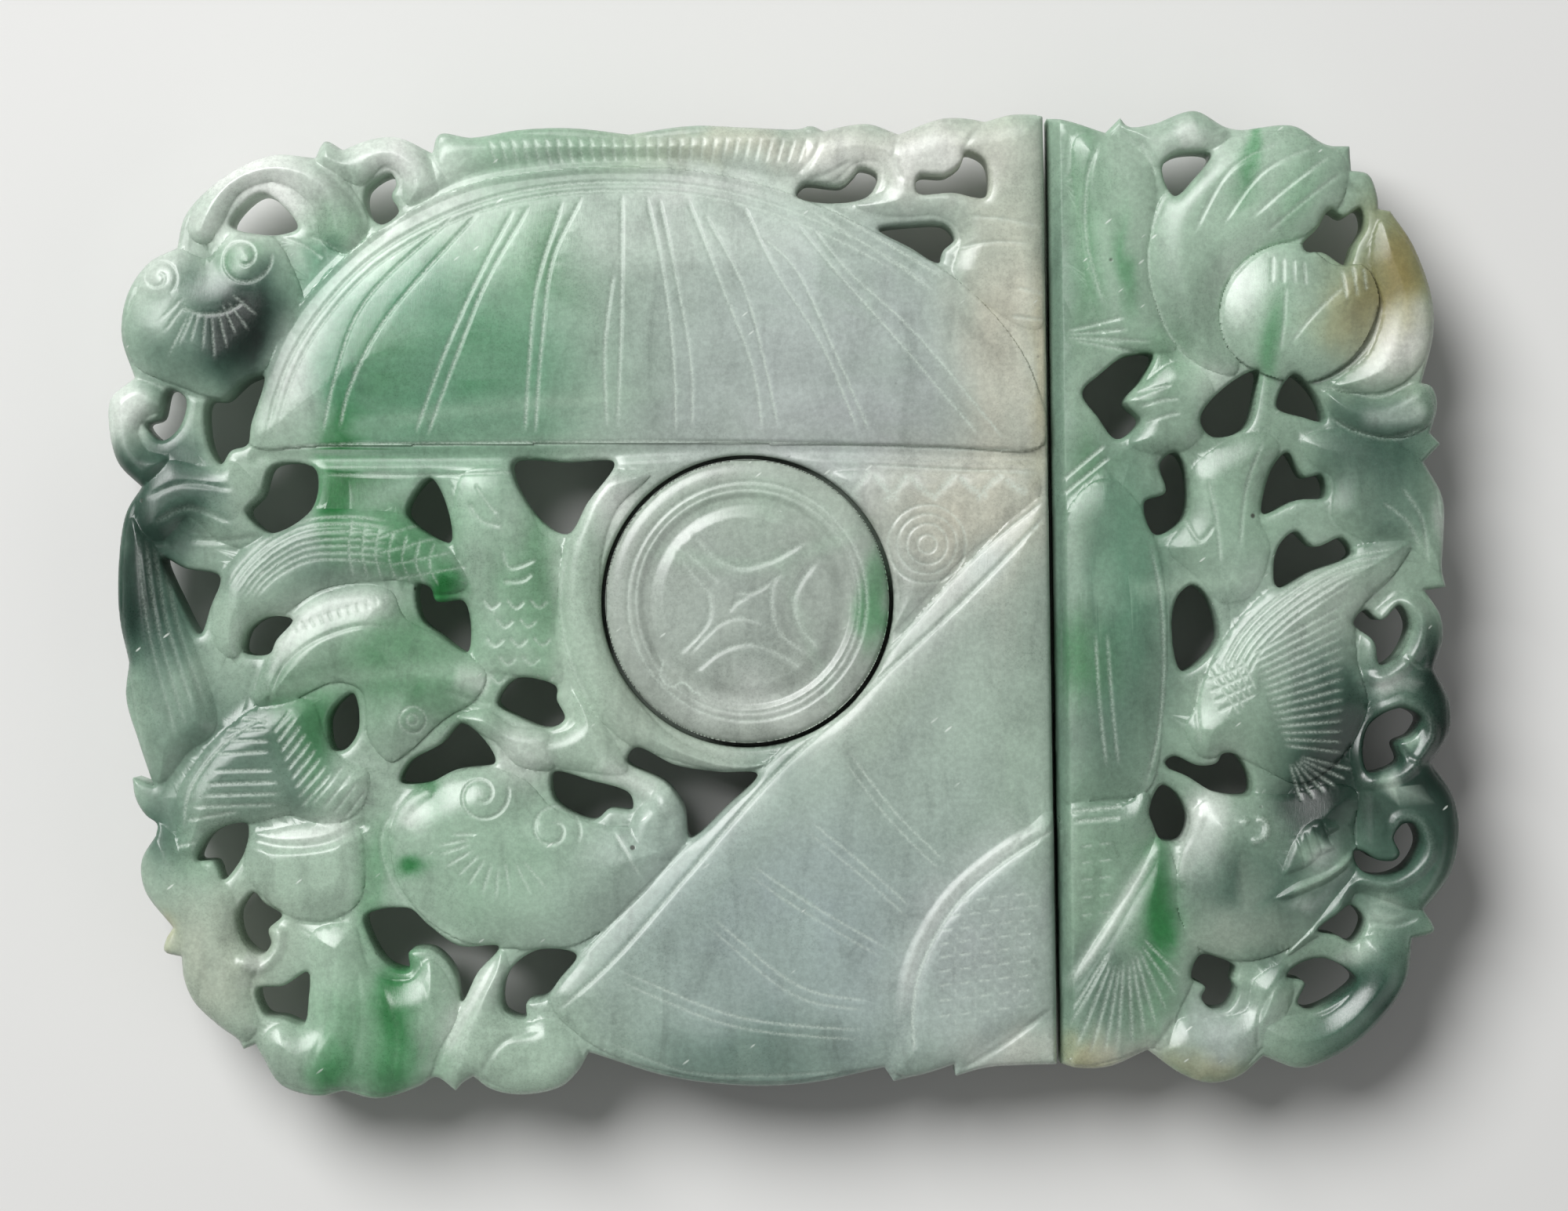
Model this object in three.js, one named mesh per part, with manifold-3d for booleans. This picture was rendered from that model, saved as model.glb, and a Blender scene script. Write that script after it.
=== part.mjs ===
// A carved jade belt buckle in two halves, lying face up on its belt studs.
// The receiver is the pierced plaque with a round aperture. The tongue half is the narrower
// pierced plaque: its tongue runs in a recess behind the receiver and ends in a round coin
// boss, which stands up through the aperture. Millimetres, +X right, +Y up, +Z out of the face.
import * as THREE from 'three';
import { mergeVertices } from 'three/addons/utils/BufferGeometryUtils.js';
import Module from 'manifold-3d';

const wasm = await Module();
wasm.setup();

// Driving dimensions of the pair
const overall_length = 90;
const plate_thickness = 5;
const edge_round = 0.35;
const clearance = 0.3;
const seam_chamfer = 0.85;

// Driving dimensions of the tongue, the coin boss and the back recess
const boss_radius = 9.45;
const boss_rise = 0.5;
const boss_edge_round = 0.5;
const tongue_thickness = 2;
const tongue_width = 15;
const tongue_lip = 0.85;

// Driving dimensions of the belt studs
const stud_head_radius = 3.75;
const stud_head_thickness = 1.8;
const stud_neck_radius = 2.4;
const stud_neck_height = 2.2;
const stud_root_round = 0.6;
const stud_rim_round = 0.4;
const stud_side_gap = 0.5;

// Driving dimensions of the carving
const relief_low = 0.45;
const relief_mid = 0.75;
const relief_high = 1.1;
const relief_round = 0.4;
const piercing_flare = 0.3;
const coin_ring_depth = 0.35;
const coin_ring_width = 0.5;
const coin_arc_depth = 0.3;
const coin_arc_width = 0.45;
const coin_hole_side = 1.6;
const dome_rib_width = 0.8;
const dome_rib_height = 0.3;

// How finely curves are stepped, and how far a cutter runs past what it cuts
const facet_length = 1.35;
const piercing_facet_length = 1.15;
const relief_facet_length = 1.9;
const boss_sides = 48;
const stud_sides = 24;
const overrun = 1;

// Levels, from the studs' flat faces up
const back_z = stud_head_thickness + stud_neck_height;
const face_z = back_z + plate_thickness;
const tongue_top_z = back_z + tongue_thickness;
const boss_top_z = face_z + boss_rise;

// The front view's corners in photograph pixels, and the scale that they give
const photo_box_px = [[138, 142], [1862, 1403]];
const pixel = overall_length / (photo_box_px[1][0] - photo_box_px[0][0]);
const boss_centre_px = [953, 767];
const seam_top_px = [1333, 149];
const seam_bottom_px = [1351, 1358];
const tongue_stud_px = [1421, 775];

// The receiver's edge: each row is one lobe, a smooth curve, and rows meet in a notch or a tip
const receiver_edge_px = [
  [[180, 621], [150, 590], [138, 541], [141, 508], [171, 482]],
  [[171, 482], [154, 426], [163, 372], [190, 334], [225, 316]],
  [[225, 316], [236, 274], [280, 229], [345, 198], [402, 201]],
  [[402, 201], [414, 180], [437, 191]],
  [[437, 191], [470, 178], [506, 175], [551, 195]],
  [[551, 195], [560, 171], [601, 175], [663, 165], [730, 163], [802, 171]],
  [[802, 171], [881, 160], [950, 162], [1019, 164], [1034, 160], [1051, 167]],
  [[1051, 167], [1080, 160], [1109, 158], [1146, 171]],
  [[1146, 171], [1201, 151], [1235, 151], [1256, 155]],
  [[1256, 155], [1290, 146], [1322, 146], seam_top_px],
  [seam_bottom_px, [1301, 1359], [1258, 1362], [1219, 1373]],
  [[1219, 1373], [1217, 1358]],
  [[1217, 1358], [1183, 1369], [1140, 1380]],
  [[1140, 1380], [1128, 1362]],
  [[1128, 1362], [1041, 1381], [980, 1386], [923, 1384], [852, 1374], [751, 1343]],
  [[751, 1343], [737, 1367], [715, 1387], [664, 1397], [626, 1390], [603, 1374]],
  [[603, 1374], [590, 1382], [581, 1392]],
  [[581, 1392], [555, 1375], [535, 1386], [481, 1402], [438, 1392]],
  [[438, 1392], [405, 1399], [357, 1384], [335, 1350], [325, 1333]],
  [[325, 1333], [310, 1339]],
  [[310, 1339], [303, 1327], [277, 1308], [247, 1279], [234, 1249], [231, 1221]],
  [[231, 1221], [209, 1214], [211, 1199], [220, 1184]],
  [[220, 1184], [184, 1136], [180, 1098], [199, 1066]],
  [[199, 1066], [200, 1052], [184, 1039], [172, 1018], [168, 992]],
  [[168, 992], [195, 1002]],
  [[195, 1002], [176, 946], [160, 890], [164, 845]],
  [[164, 845], [152, 790], [150, 730], [160, 655], [180, 621]],
];

// The tongue half's edge, from the seam's top round to its foot, in the same way
const tongue_edge_px = [
  [seam_top_px, [1360, 153], [1410, 169]],
  [[1410, 169], [1429, 150]],
  [[1429, 150], [1440, 161], [1470, 158], [1524, 141], [1562, 161], [1582, 165], [1650, 160], [1692, 184],
    [1722, 186]],
  [[1722, 186], [1724, 217]],
  [[1724, 217], [1746, 222], [1757, 248], [1759, 266]],
  [[1759, 266], [1774, 269]],
  [[1774, 269], [1803, 312], [1827, 379], [1829, 425], [1814, 488]],
  [[1814, 488], [1827, 493], [1834, 515], [1825, 552]],
  [[1825, 552], [1838, 566]],
  [[1838, 566], [1817, 589]],
  [[1817, 589], [1841, 636], [1842, 685], [1840, 724], [1845, 749]],
  [[1845, 749], [1818, 753]],
  [[1818, 753], [1838, 785], [1841, 815], [1829, 853]],
  [[1829, 853], [1849, 893], [1849, 935], [1826, 973]],
  [[1826, 973], [1854, 1015], [1862, 1061], [1851, 1114], [1817, 1161]],
  [[1817, 1161], [1830, 1188], [1802, 1198]],
  [[1802, 1198], [1794, 1252], [1762, 1301], [1717, 1340], [1660, 1363], [1612, 1348]],
  [[1612, 1348], [1580, 1374], [1545, 1382], [1510, 1372], [1464, 1340]],
  [[1464, 1340], [1415, 1361], [1376, 1363], seam_bottom_px],
];

// The receiver's piercings: each row is one closed smooth curve
const receiver_piercings_px = [
  [[293, 287], [312, 258], [335, 246], [364, 266], [379, 290], [362, 298], [332, 299]],
  [[498, 221], [505, 234], [499, 250], [508, 270], [486, 286], [468, 270], [467, 240]],
  [[1016, 250], [1024, 234], [1073, 235], [1089, 222], [1097, 213], [1119, 222], [1108, 249], [1060, 259]],
  [[1172, 224], [1206, 222], [1226, 208], [1232, 193], [1257, 205], [1257, 251], [1215, 246], [1170, 246]],
  [[1121, 292], [1160, 285], [1206, 286], [1218, 304], [1203, 320], [1198, 335], [1160, 315]],
  [[213, 497], [236, 508], [228, 545], [205, 562], [184, 541], [201, 533]],
  [[264, 512], [284, 510], [314, 485], [336, 480], [320, 541], [315, 567], [294, 575], [281, 592], [265, 568]],
  [[347, 594], [401, 598], [398, 648], [345, 680], [314, 653], [331, 632]],
  [[548, 610], [568, 641], [574, 692], [518, 655]],
  [[653, 590], [720, 588], [783, 590], [749, 642], [724, 681], [684, 659]],
  [[207, 712], [236, 725], [280, 736], [268, 774], [254, 809], [228, 766]],
  [[310, 832], [315, 804], [340, 787], [373, 791], [352, 817], [343, 834]],
  [[532, 746], [549, 750], [556, 767], [592, 768], [596, 832], [562, 811], [536, 788]],
  [[450, 885], [457, 930], [440, 956], [424, 957], [417, 922], [427, 900]],
  [[634, 897], [657, 866], [709, 876], [710, 893], [720, 917], [700, 929], [660, 915]],
  [[521, 973], [560, 950], [588, 923], [618, 945], [631, 973], [580, 983], [545, 999], [511, 998]],
  [[705, 986], [754, 996], [803, 1013], [806, 1033], [777, 1033], [757, 1047], [708, 1022]],
  [[799, 971], [811, 954], [861, 976], [917, 985], [966, 988], [930, 1027], [880, 1069], [872, 1030], [850, 1000]],
  [[314, 1051], [314, 1078], [302, 1104], [283, 1123], [272, 1100], [251, 1097], [268, 1064]],
  [[323, 1139], [337, 1153], [359, 1168], [342, 1186], [345, 1205], [331, 1219], [308, 1201], [302, 1165]],
  [[327, 1263], [361, 1258], [392, 1241], [393, 1275], [386, 1308], [360, 1300], [337, 1295]],
  [[466, 1169], [521, 1159], [546, 1180], [586, 1207], [636, 1208], [609, 1241], [588, 1279], [577, 1238],
    [550, 1212], [522, 1214], [521, 1237], [495, 1232], [470, 1195]],
  [[693, 1211], [735, 1219], [712, 1252], [695, 1273], [672, 1279], [670, 1300], [643, 1290], [643, 1252], [664, 1224]],
];

// The tongue half's piercings
const tongue_piercings_px = [
  [[1483, 212], [1502, 195], [1545, 196], [1525, 226], [1498, 250]],
  [[1662, 312], [1681, 291], [1697, 267], [1716, 275], [1736, 265], [1742, 286], [1729, 312], [1718, 338],
    [1688, 322], [1666, 321]],
  [[1381, 501], [1404, 477], [1437, 453], [1471, 452], [1458, 483], [1436, 512], [1455, 536], [1425, 560], [1400, 531]],
  [[1531, 535], [1559, 497], [1605, 472], [1604, 500], [1590, 545], [1547, 557]],
  [[1629, 519], [1650, 477], [1681, 505], [1689, 537], [1662, 532]],
  [[1480, 592], [1499, 577], [1513, 596], [1512, 660], [1474, 682], [1460, 641], [1487, 628]],
  [[1625, 594], [1643, 577], [1665, 608], [1687, 606], [1692, 633], [1655, 638], [1611, 655], [1613, 627]],
  [[1625, 724], [1632, 696], [1653, 678], [1678, 697], [1713, 686], [1726, 706], [1677, 729], [1630, 749]],
  [[1495, 792], [1504, 759], [1522, 746], [1543, 763], [1554, 818], [1508, 856]],
  [[1487, 972], [1498, 965], [1530, 977], [1553, 973], [1560, 962], [1578, 963], [1596, 992], [1595, 1013],
    [1551, 1011], [1514, 990], [1490, 979]],
  [[1466, 1034], [1482, 1002], [1503, 1014], [1518, 1046], [1507, 1073], [1481, 1071], [1471, 1052]],
  [[1727, 795], [1742, 778], [1762, 791], [1785, 772], [1800, 797], [1782, 838], [1760, 848], [1752, 818]],
  [[1738, 964], [1747, 924], [1786, 903], [1813, 916], [1803, 937], [1783, 948], [1788, 972], [1746, 985]],
  [[1727, 1086], [1738, 1086], [1757, 1097], [1779, 1097], [1785, 1089], [1777, 1068], [1789, 1051],
    [1803, 1052], [1813, 1075], [1796, 1106], [1766, 1118], [1735, 1109]],
  [[1681, 1187], [1704, 1167], [1723, 1155], [1742, 1175], [1728, 1203], [1706, 1194]],
  [[1520, 1247], [1531, 1219], [1548, 1220], [1576, 1234], [1574, 1252], [1578, 1264], [1566, 1286],
    [1546, 1288], [1533, 1273], [1538, 1260]],
  [[1642, 1246], [1656, 1231], [1690, 1223], [1731, 1250], [1716, 1268], [1672, 1289], [1656, 1280],
    [1665, 1254]],
];

// The receiver's raised motifs: height above the face, then one closed smooth curve
const great_dome_px = [[318, 566], [330, 500], [368, 411], [425, 342], [509, 277], [600, 236], [700, 219],
  [835, 214], [949, 231], [1065, 270], [1201, 343], [1290, 430], [1320, 560], [1150, 570], [850, 566], [560, 568]];
const dome_ribs_px = [
  [[592, 274], [420, 545]],
  [[665, 266], [538, 554]],
  [[734, 255], [677, 552]],
  [[789, 250], [779, 549]],
  [[830, 250], [872, 546]],
  [[884, 256], [983, 546]],
  [[952, 276], [1102, 552]],
  [[1017, 284], [1258, 557]],
];
const receiver_reliefs = [
  { height: relief_high, outline_px: great_dome_px },
  { height: relief_mid, outline_px: [[172, 380], [200, 340], [262, 315], [330, 318], [352, 350], [372, 400],
    [325, 470], [290, 508], [230, 490], [172, 455]] },
  { height: relief_low, outline_px: [[242, 292], [266, 252], [312, 220], [370, 209], [430, 233], [464, 285],
    [446, 322], [412, 318], [402, 272], [348, 236], [300, 250], [276, 292], [256, 306]] },
  { height: relief_mid, outline_px: [[170, 650], [190, 670], [222, 770], [262, 870], [240, 940], [196, 960],
    [175, 860], [160, 740]] },
  { height: relief_mid, outline_px: [[276, 744], [299, 713], [368, 663], [463, 652], [530, 672], [580, 730],
    [520, 742], [420, 745], [330, 780], [290, 810]] },
  { height: relief_high, outline_px: [[334, 880], [368, 793], [425, 752], [498, 752], [560, 820], [620, 860],
    [600, 905], [548, 930], [500, 965], [470, 940], [468, 885], [430, 870], [375, 890]] },
  { height: relief_mid, outline_px: [[226, 1060], [234, 1000], [275, 942], [350, 898], [400, 905], [408, 960],
    [430, 1000], [380, 1030], [310, 1030], [262, 1050]] },
  { height: relief_mid, outline_px: [[500, 1050], [530, 1010], [600, 985], [700, 1030], [770, 1060], [840, 1050],
    [860, 1075], [800, 1140], [730, 1200], [600, 1195], [520, 1150], [498, 1110]] },
  { height: relief_low, outline_px: [[735, 700], [760, 620], [820, 605], [765, 680], [748, 780], [775, 880],
    [850, 950], [790, 940], [745, 880], [728, 790]] },
  { height: relief_low, outline_px: [[1325, 650], [1230, 742], [1126, 850], [970, 1000], [880, 1095], [730, 1250],
    [770, 1325], [900, 1365], [1110, 1350], [1150, 1200], [1230, 1085], [1330, 1035]] },
  { height: relief_mid, outline_px: [[1160, 1345], [1162, 1250], [1200, 1150], [1256, 1088], [1330, 1050],
    [1335, 1180], [1335, 1270], [1240, 1330]] },
  { height: relief_low, outline_px: [[405, 1190], [450, 1180], [480, 1240], [540, 1260], [565, 1330], [520, 1380],
    [440, 1378], [385, 1370], [400, 1290]] },
  { height: relief_low, outline_px: [[345, 1080], [400, 1060], [455, 1075], [460, 1130], [410, 1160], [355, 1140]] },
];

// The tongue half's raised motifs
const tongue_reliefs = [
  { height: relief_mid, outline_px: [[1505, 255], [1560, 192], [1640, 178], [1705, 195], [1700, 255], [1650, 305],
    [1585, 330], [1545, 400], [1560, 470], [1505, 440], [1475, 380], [1472, 300]] },
  { height: relief_high, outline_px: [[1662, 325], [1610, 325], [1565, 375], [1562, 420], [1590, 465], [1660, 480],
    [1715, 455], [1745, 400], [1745, 350], [1700, 350]] },
  { height: relief_low, outline_px: [[1400, 190], [1450, 185], [1470, 230], [1455, 320], [1465, 400], [1440, 430],
    [1405, 370], [1390, 280]] },
  { height: relief_mid, outline_px: [[1700, 495], [1770, 490], [1810, 470], [1820, 520], [1800, 545], [1740, 540]] },
  { height: relief_low, outline_px: [[1370, 700], [1420, 640], [1465, 700], [1482, 800], [1480, 900], [1455, 1010],
    [1400, 1000], [1368, 850]] },
  { height: relief_high, outline_px: [[1540, 900], [1553, 850], [1614, 765], [1700, 715], [1790, 700], [1735, 770],
    [1728, 850], [1740, 890], [1700, 960], [1620, 960], [1550, 950]] },
  { height: relief_mid, outline_px: [[1525, 1080], [1540, 1030], [1620, 1010], [1690, 1010], [1715, 1080],
    [1690, 1140], [1600, 1190], [1530, 1170], [1510, 1130]] },
  { height: relief_low, outline_px: [[1385, 1300], [1400, 1240], [1455, 1150], [1500, 1120], [1520, 1200],
    [1500, 1290], [1440, 1330]] },
  { height: relief_low, outline_px: [[1545, 600], [1590, 560], [1620, 560], [1600, 620], [1590, 700], [1550, 730],
    [1535, 680]] },
];

/** A photograph pixel as a point of the front view, with the middle of the pair at zero. */
function place([across, down]) {
  const [[left, top], [right, bottom]] = photo_box_px;
  const x = (across - (left + right) / 2) * pixel;
  const y = ((top + bottom) / 2 - down) * pixel;
  return new THREE.Vector2(x, y);
}

/** Points at an even step along a smooth curve through pixels, without the last one. */
function smooth_points(row_px, closed, step) {
  const through = row_px.map(place).map(({ x, y }) => new THREE.Vector3(x, y, 0));
  const curve = new THREE.CatmullRomCurve3(through, closed, 'centripetal');
  const least = closed ? through.length : through.length - 1;
  const count = Math.max(least, Math.round(curve.getLength() / step));
  return curve.getSpacedPoints(count).slice(0, -1).map(({ x, y }) => new THREE.Vector2(x, y));
}

/** A half's whole edge: its lobes in order, drawn back from the seam by its share of the gap. */
function edge_points(edge_px, side) {
  const top = place(seam_top_px);
  const foot = place(seam_bottom_px);
  const across = new THREE.Vector2(top.y - foot.y, foot.x - top.x).normalize();
  const shift = across.clone().multiplyScalar(side * clearance / 2);
  const points = edge_px.flatMap((row_px) => {
    const points = smooth_points(row_px, false, facet_length);
    const end = row_px.at(-1);
    return end === seam_top_px || end === seam_bottom_px ? [...points, place(end)] : points;
  });
  return points.map((point) => {
    const beyond = point.clone().sub(top).dot(across) * side;
    return beyond < clearance / 2 ? point.clone().addScaledVector(across, side * (clearance / 2 - beyond)) : point;
  });
}

/** A closed geometry as a solid that can be joined and cut. */
function solid(geometry) {
  const bare = geometry.clone();
  bare.deleteAttribute('normal');
  bare.deleteAttribute('uv');
  const merged = mergeVertices(bare);
  return new wasm.Manifold(new wasm.Mesh({
    numProp: 3,
    vertProperties: merged.getAttribute('position').array,
    triVerts: new Uint32Array(merged.index.array),
  }));
}

/** A flat outline raised from one level to another, with rounded or flared ends. */
function prism(points, low, high, round = 0, flare = 0) {
  const rim = round || flare;
  const geometry = new THREE.ExtrudeGeometry(new THREE.Shape(points), {
    depth: high - low - 2 * rim,
    bevelEnabled: rim > 0,
    bevelThickness: rim,
    bevelSize: round - flare,
    bevelOffset: flare - round,
    bevelSegments: 1,
  });
  geometry.translate(0, 0, low + rim);
  return solid(geometry);
}

/** A profile of [radius, level] pairs turned about a vertical axis at a point. */
function turned(profile, sides, centre) {
  const points = profile.map(([radius, level]) => new THREE.Vector2(radius, level));
  const geometry = new THREE.LatheGeometry(points, sides);
  geometry.rotateX(Math.PI / 2);
  geometry.translate(centre.x, centre.y, 0);
  return solid(geometry);
}

/** A quarter round between two corners, as [radius, level] pairs. */
function quarter_round(radius, level, size, from, steps = 2) {
  return Array.from({ length: steps + 1 }, (_, step) => {
    const turn = from + (step / steps) * Math.PI / 2;
    return [radius + size * Math.cos(turn), level + size * Math.sin(turn)];
  });
}

/** A belt stud: a flat round head on a neck that spreads where it leaves the back. */
function belt_stud(centre) {
  const rim = stud_head_radius - stud_rim_round;
  const root_level = back_z - stud_root_round;
  const root = quarter_round(stud_neck_radius + stud_root_round, root_level, stud_root_round, Math.PI / 2);
  return turned([
    [0, 0],
    ...quarter_round(rim, stud_rim_round, stud_rim_round, -Math.PI / 2),
    ...quarter_round(rim, stud_head_thickness - stud_rim_round, stud_rim_round, 0),
    [stud_neck_radius, stud_head_thickness],
    ...root.reverse(),
    [stud_neck_radius + stud_root_round, back_z + edge_round],
    [0, back_z + edge_round],
  ], stud_sides, centre);
}

/** A raised motif: an outline with a rounded shoulder, rooted inside the plate. */
function relief({ height, outline_px }) {
  const points = smooth_points(outline_px, true, relief_facet_length);
  return prism(points, face_z - 2 * relief_round, face_z + height, relief_round);
}

/** A plaque: its edge, its raised motifs kept inside that edge, and its piercings cut through. */
function pierced_plaque(edge, reliefs, piercings_px) {
  const top_z = face_z + relief_high + dome_rib_height;
  const inside = prism(edge, back_z + edge_round, top_z + overrun);
  let plaque = prism(edge, back_z, face_z, edge_round);
  for (const motif of reliefs) {
    plaque = plaque.add(motif.intersect(inside));
  }
  for (const piercing_px of piercings_px) {
    const points = smooth_points(piercing_px, true, piercing_facet_length);
    plaque = plaque.subtract(prism(points, back_z - overrun, top_z + overrun));
    plaque = plaque.subtract(flare_cutter(points, face_z));
  }
  return plaque;
}

/** The slanted shoulder round a piercing's mouth at the face. */
function flare_cutter(points, level) {
  const top = level + relief_high + dome_rib_height;
  const geometry = new THREE.ExtrudeGeometry(new THREE.Shape(points), {
    depth: overrun,
    bevelEnabled: true,
    bevelThickness: top - level + piercing_flare,
    bevelSize: -piercing_flare,
    bevelOffset: piercing_flare,
    bevelSegments: 1,
  });
  geometry.translate(0, 0, top);
  return solid(geometry);
}

/** A straight raised rib between two pixels. */
function dome_rib([from_px, to_px]) {
  const from = place(from_px);
  const to = place(to_px);
  const along = to.clone().sub(from).normalize();
  const half = new THREE.Vector2(-along.y, along.x).multiplyScalar(dome_rib_width / 2);
  const corners = [from.clone().sub(half), to.clone().sub(half), to.clone().add(half), from.clone().add(half)];
  const low = face_z + relief_high - 2 * dome_rib_height;
  return prism(corners, low, face_z + relief_high + dome_rib_height, dome_rib_height);
}

/** The tongue's outline grown by a margin: a straight strip from beyond the seam, ending in a disc. */
function tongue_points(margin, reach) {
  const centre = place(boss_centre_px);
  const end_radius = boss_radius + tongue_lip + margin;
  const half_width = tongue_width / 2 + margin;
  const start = Math.asin(half_width / end_radius);
  const shape = new THREE.Shape();
  shape.moveTo(reach, centre.y - half_width);
  shape.lineTo(reach, centre.y + half_width);
  shape.absarc(centre.x, centre.y, end_radius, start, 2 * Math.PI - start, false);
  return shape.extractPoints(boss_sides / 2).shape;
}

/** The slanted strip along the tongue half's seam edge. */
function seam_chamfer_cutter() {
  const top = place(seam_top_px);
  const foot = place(seam_bottom_px);
  const length = top.distanceTo(foot) + 2 * overrun;
  const section = new THREE.Shape([
    new THREE.Vector2(-overrun, face_z - seam_chamfer - overrun),
    new THREE.Vector2(clearance / 2 + seam_chamfer + overrun, face_z + overrun),
    new THREE.Vector2(-overrun, face_z + overrun),
  ]);
  const geometry = new THREE.ExtrudeGeometry(section, { depth: length, bevelEnabled: false });
  geometry.rotateX(Math.PI / 2);
  geometry.translate(0, length / 2, 0);
  geometry.rotateZ(Math.atan2(foot.x - top.x, top.y - foot.y));
  geometry.translate((top.x + foot.x) / 2, (top.y + foot.y) / 2, 0);
  return solid(geometry);
}

/** The coin boss: a round plug with a rolled rim, a ring groove and a low inner dome. */
function coin_boss() {
  const ring = boss_radius - 2 * boss_edge_round - coin_ring_width;
  const inner = ring - 2 * coin_ring_width;
  return turned([
    [0, tongue_top_z - edge_round],
    [boss_radius, tongue_top_z - edge_round],
    ...quarter_round(boss_radius - boss_edge_round, boss_top_z - boss_edge_round, boss_edge_round, 0),
    [ring + coin_ring_width, boss_top_z],
    [ring, boss_top_z - coin_ring_depth],
    [ring - coin_ring_width, boss_top_z - coin_ring_depth],
    [inner, boss_top_z + coin_ring_depth / 2],
    [inner - coin_ring_width, boss_top_z + coin_ring_depth / 2],
    [inner - 2 * coin_ring_width, boss_top_z],
    [0, boss_top_z],
  ], boss_sides, place(boss_centre_px));
}

/** Four hollow curves round the middle of the coin, which leave a four-pointed star. */
function coin_arcs() {
  const centre = place(boss_centre_px);
  const field = boss_radius - 2 * boss_edge_round - 5 * coin_ring_width;
  const arc_centre = field * Math.SQRT2;
  const half_turn = Math.PI / 5;
  return Array.from({ length: 4 }, (_, quarter) => {
    const bearing = quarter * Math.PI / 2;
    const middle = new THREE.Vector2(Math.cos(bearing), Math.sin(bearing)).multiplyScalar(arc_centre).add(centre);
    const inner = field - coin_arc_width / 2;
    const outer = field + coin_arc_width / 2;
    const shape = new THREE.Shape();
    shape.absarc(middle.x, middle.y, outer, bearing + Math.PI - half_turn, bearing + Math.PI + half_turn, false);
    shape.absarc(middle.x, middle.y, inner, bearing + Math.PI + half_turn, bearing + Math.PI - half_turn, true);
    const points = shape.extractPoints(boss_sides / 8).shape;
    return prism(points, boss_top_z - coin_arc_depth, boss_top_z + overrun);
  });
}

/** The coin's square middle, a shallow sinking. */
function coin_hole() {
  const centre = place(boss_centre_px);
  const half = coin_hole_side / 2;
  const corners = [[-half, -half], [half, -half], [half, half], [-half, half]];
  const points = corners.map(([x, y]) => new THREE.Vector2(centre.x + x, centre.y + y));
  return prism(points, boss_top_z - coin_arc_depth, boss_top_z + overrun);
}

/** The receiver: domed and pierced, with a round aperture, a back recess for the tongue and a stud. */
function receiver_plaque() {
  const edge = edge_points(receiver_edge_px, -1);
  const centre = place(boss_centre_px);
  const aperture = turned([
    [0, back_z - overrun],
    [boss_radius + clearance, back_z - overrun],
    [boss_radius + clearance, boss_top_z + relief_high + overrun],
    [0, boss_top_z + relief_high + overrun],
  ], boss_sides, centre);
  const reach = Math.max(...edge.map(({ x }) => x)) + overrun;
  const recess = prism(tongue_points(clearance, reach), back_z - overrun, tongue_top_z + clearance);
  const stud_offset = boss_radius + tongue_lip + clearance + stud_side_gap + stud_head_radius;
  const stud_centre = new THREE.Vector2(centre.x - stud_offset, centre.y);
  const ribs = dome_ribs_px.map(dome_rib);
  return pierced_plaque(edge, [...receiver_reliefs.map(relief), ...ribs], receiver_piercings_px)
    .subtract(aperture)
    .subtract(recess)
    .add(belt_stud(stud_centre));
}

/** The tongue half: pierced plaque, tongue, coin boss and stud, all one stone. */
function tongue_plaque() {
  const edge = edge_points(tongue_edge_px, 1);
  const root = place(tongue_stud_px).x;
  const tongue = prism(tongue_points(0, root), back_z, tongue_top_z, edge_round);
  let half = pierced_plaque(edge, tongue_reliefs.map(relief), tongue_piercings_px)
    .subtract(seam_chamfer_cutter())
    .add(tongue)
    .add(coin_boss())
    .add(belt_stud(place(tongue_stud_px)));
  for (const cutter of [...coin_arcs(), coin_hole()]) {
    half = half.subtract(cutter);
  }
  return half;
}

/** A named mesh from a finished solid, in polished jade. */
function piece(name, body, colour) {
  const { vertProperties, triVerts } = body.getMesh();
  const geometry = new THREE.BufferGeometry();
  geometry.setAttribute('position', new THREE.BufferAttribute(vertProperties, 3));
  geometry.setIndex(new THREE.BufferAttribute(triVerts, 1));
  geometry.computeVertexNormals();
  const material = new THREE.MeshStandardMaterial({ color: colour, roughness: 0.28, metalness: 0 });
  const mesh = new THREE.Mesh(geometry, material);
  mesh.name = name;
  return mesh;
}

const buckle = new THREE.Group();
buckle.add(piece('receiver_plaque', receiver_plaque(), '#b9c9bd'));
buckle.add(piece('tongue_plaque', tongue_plaque(), '#a9c2b2'));

export default buckle;
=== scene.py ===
import math

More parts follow.
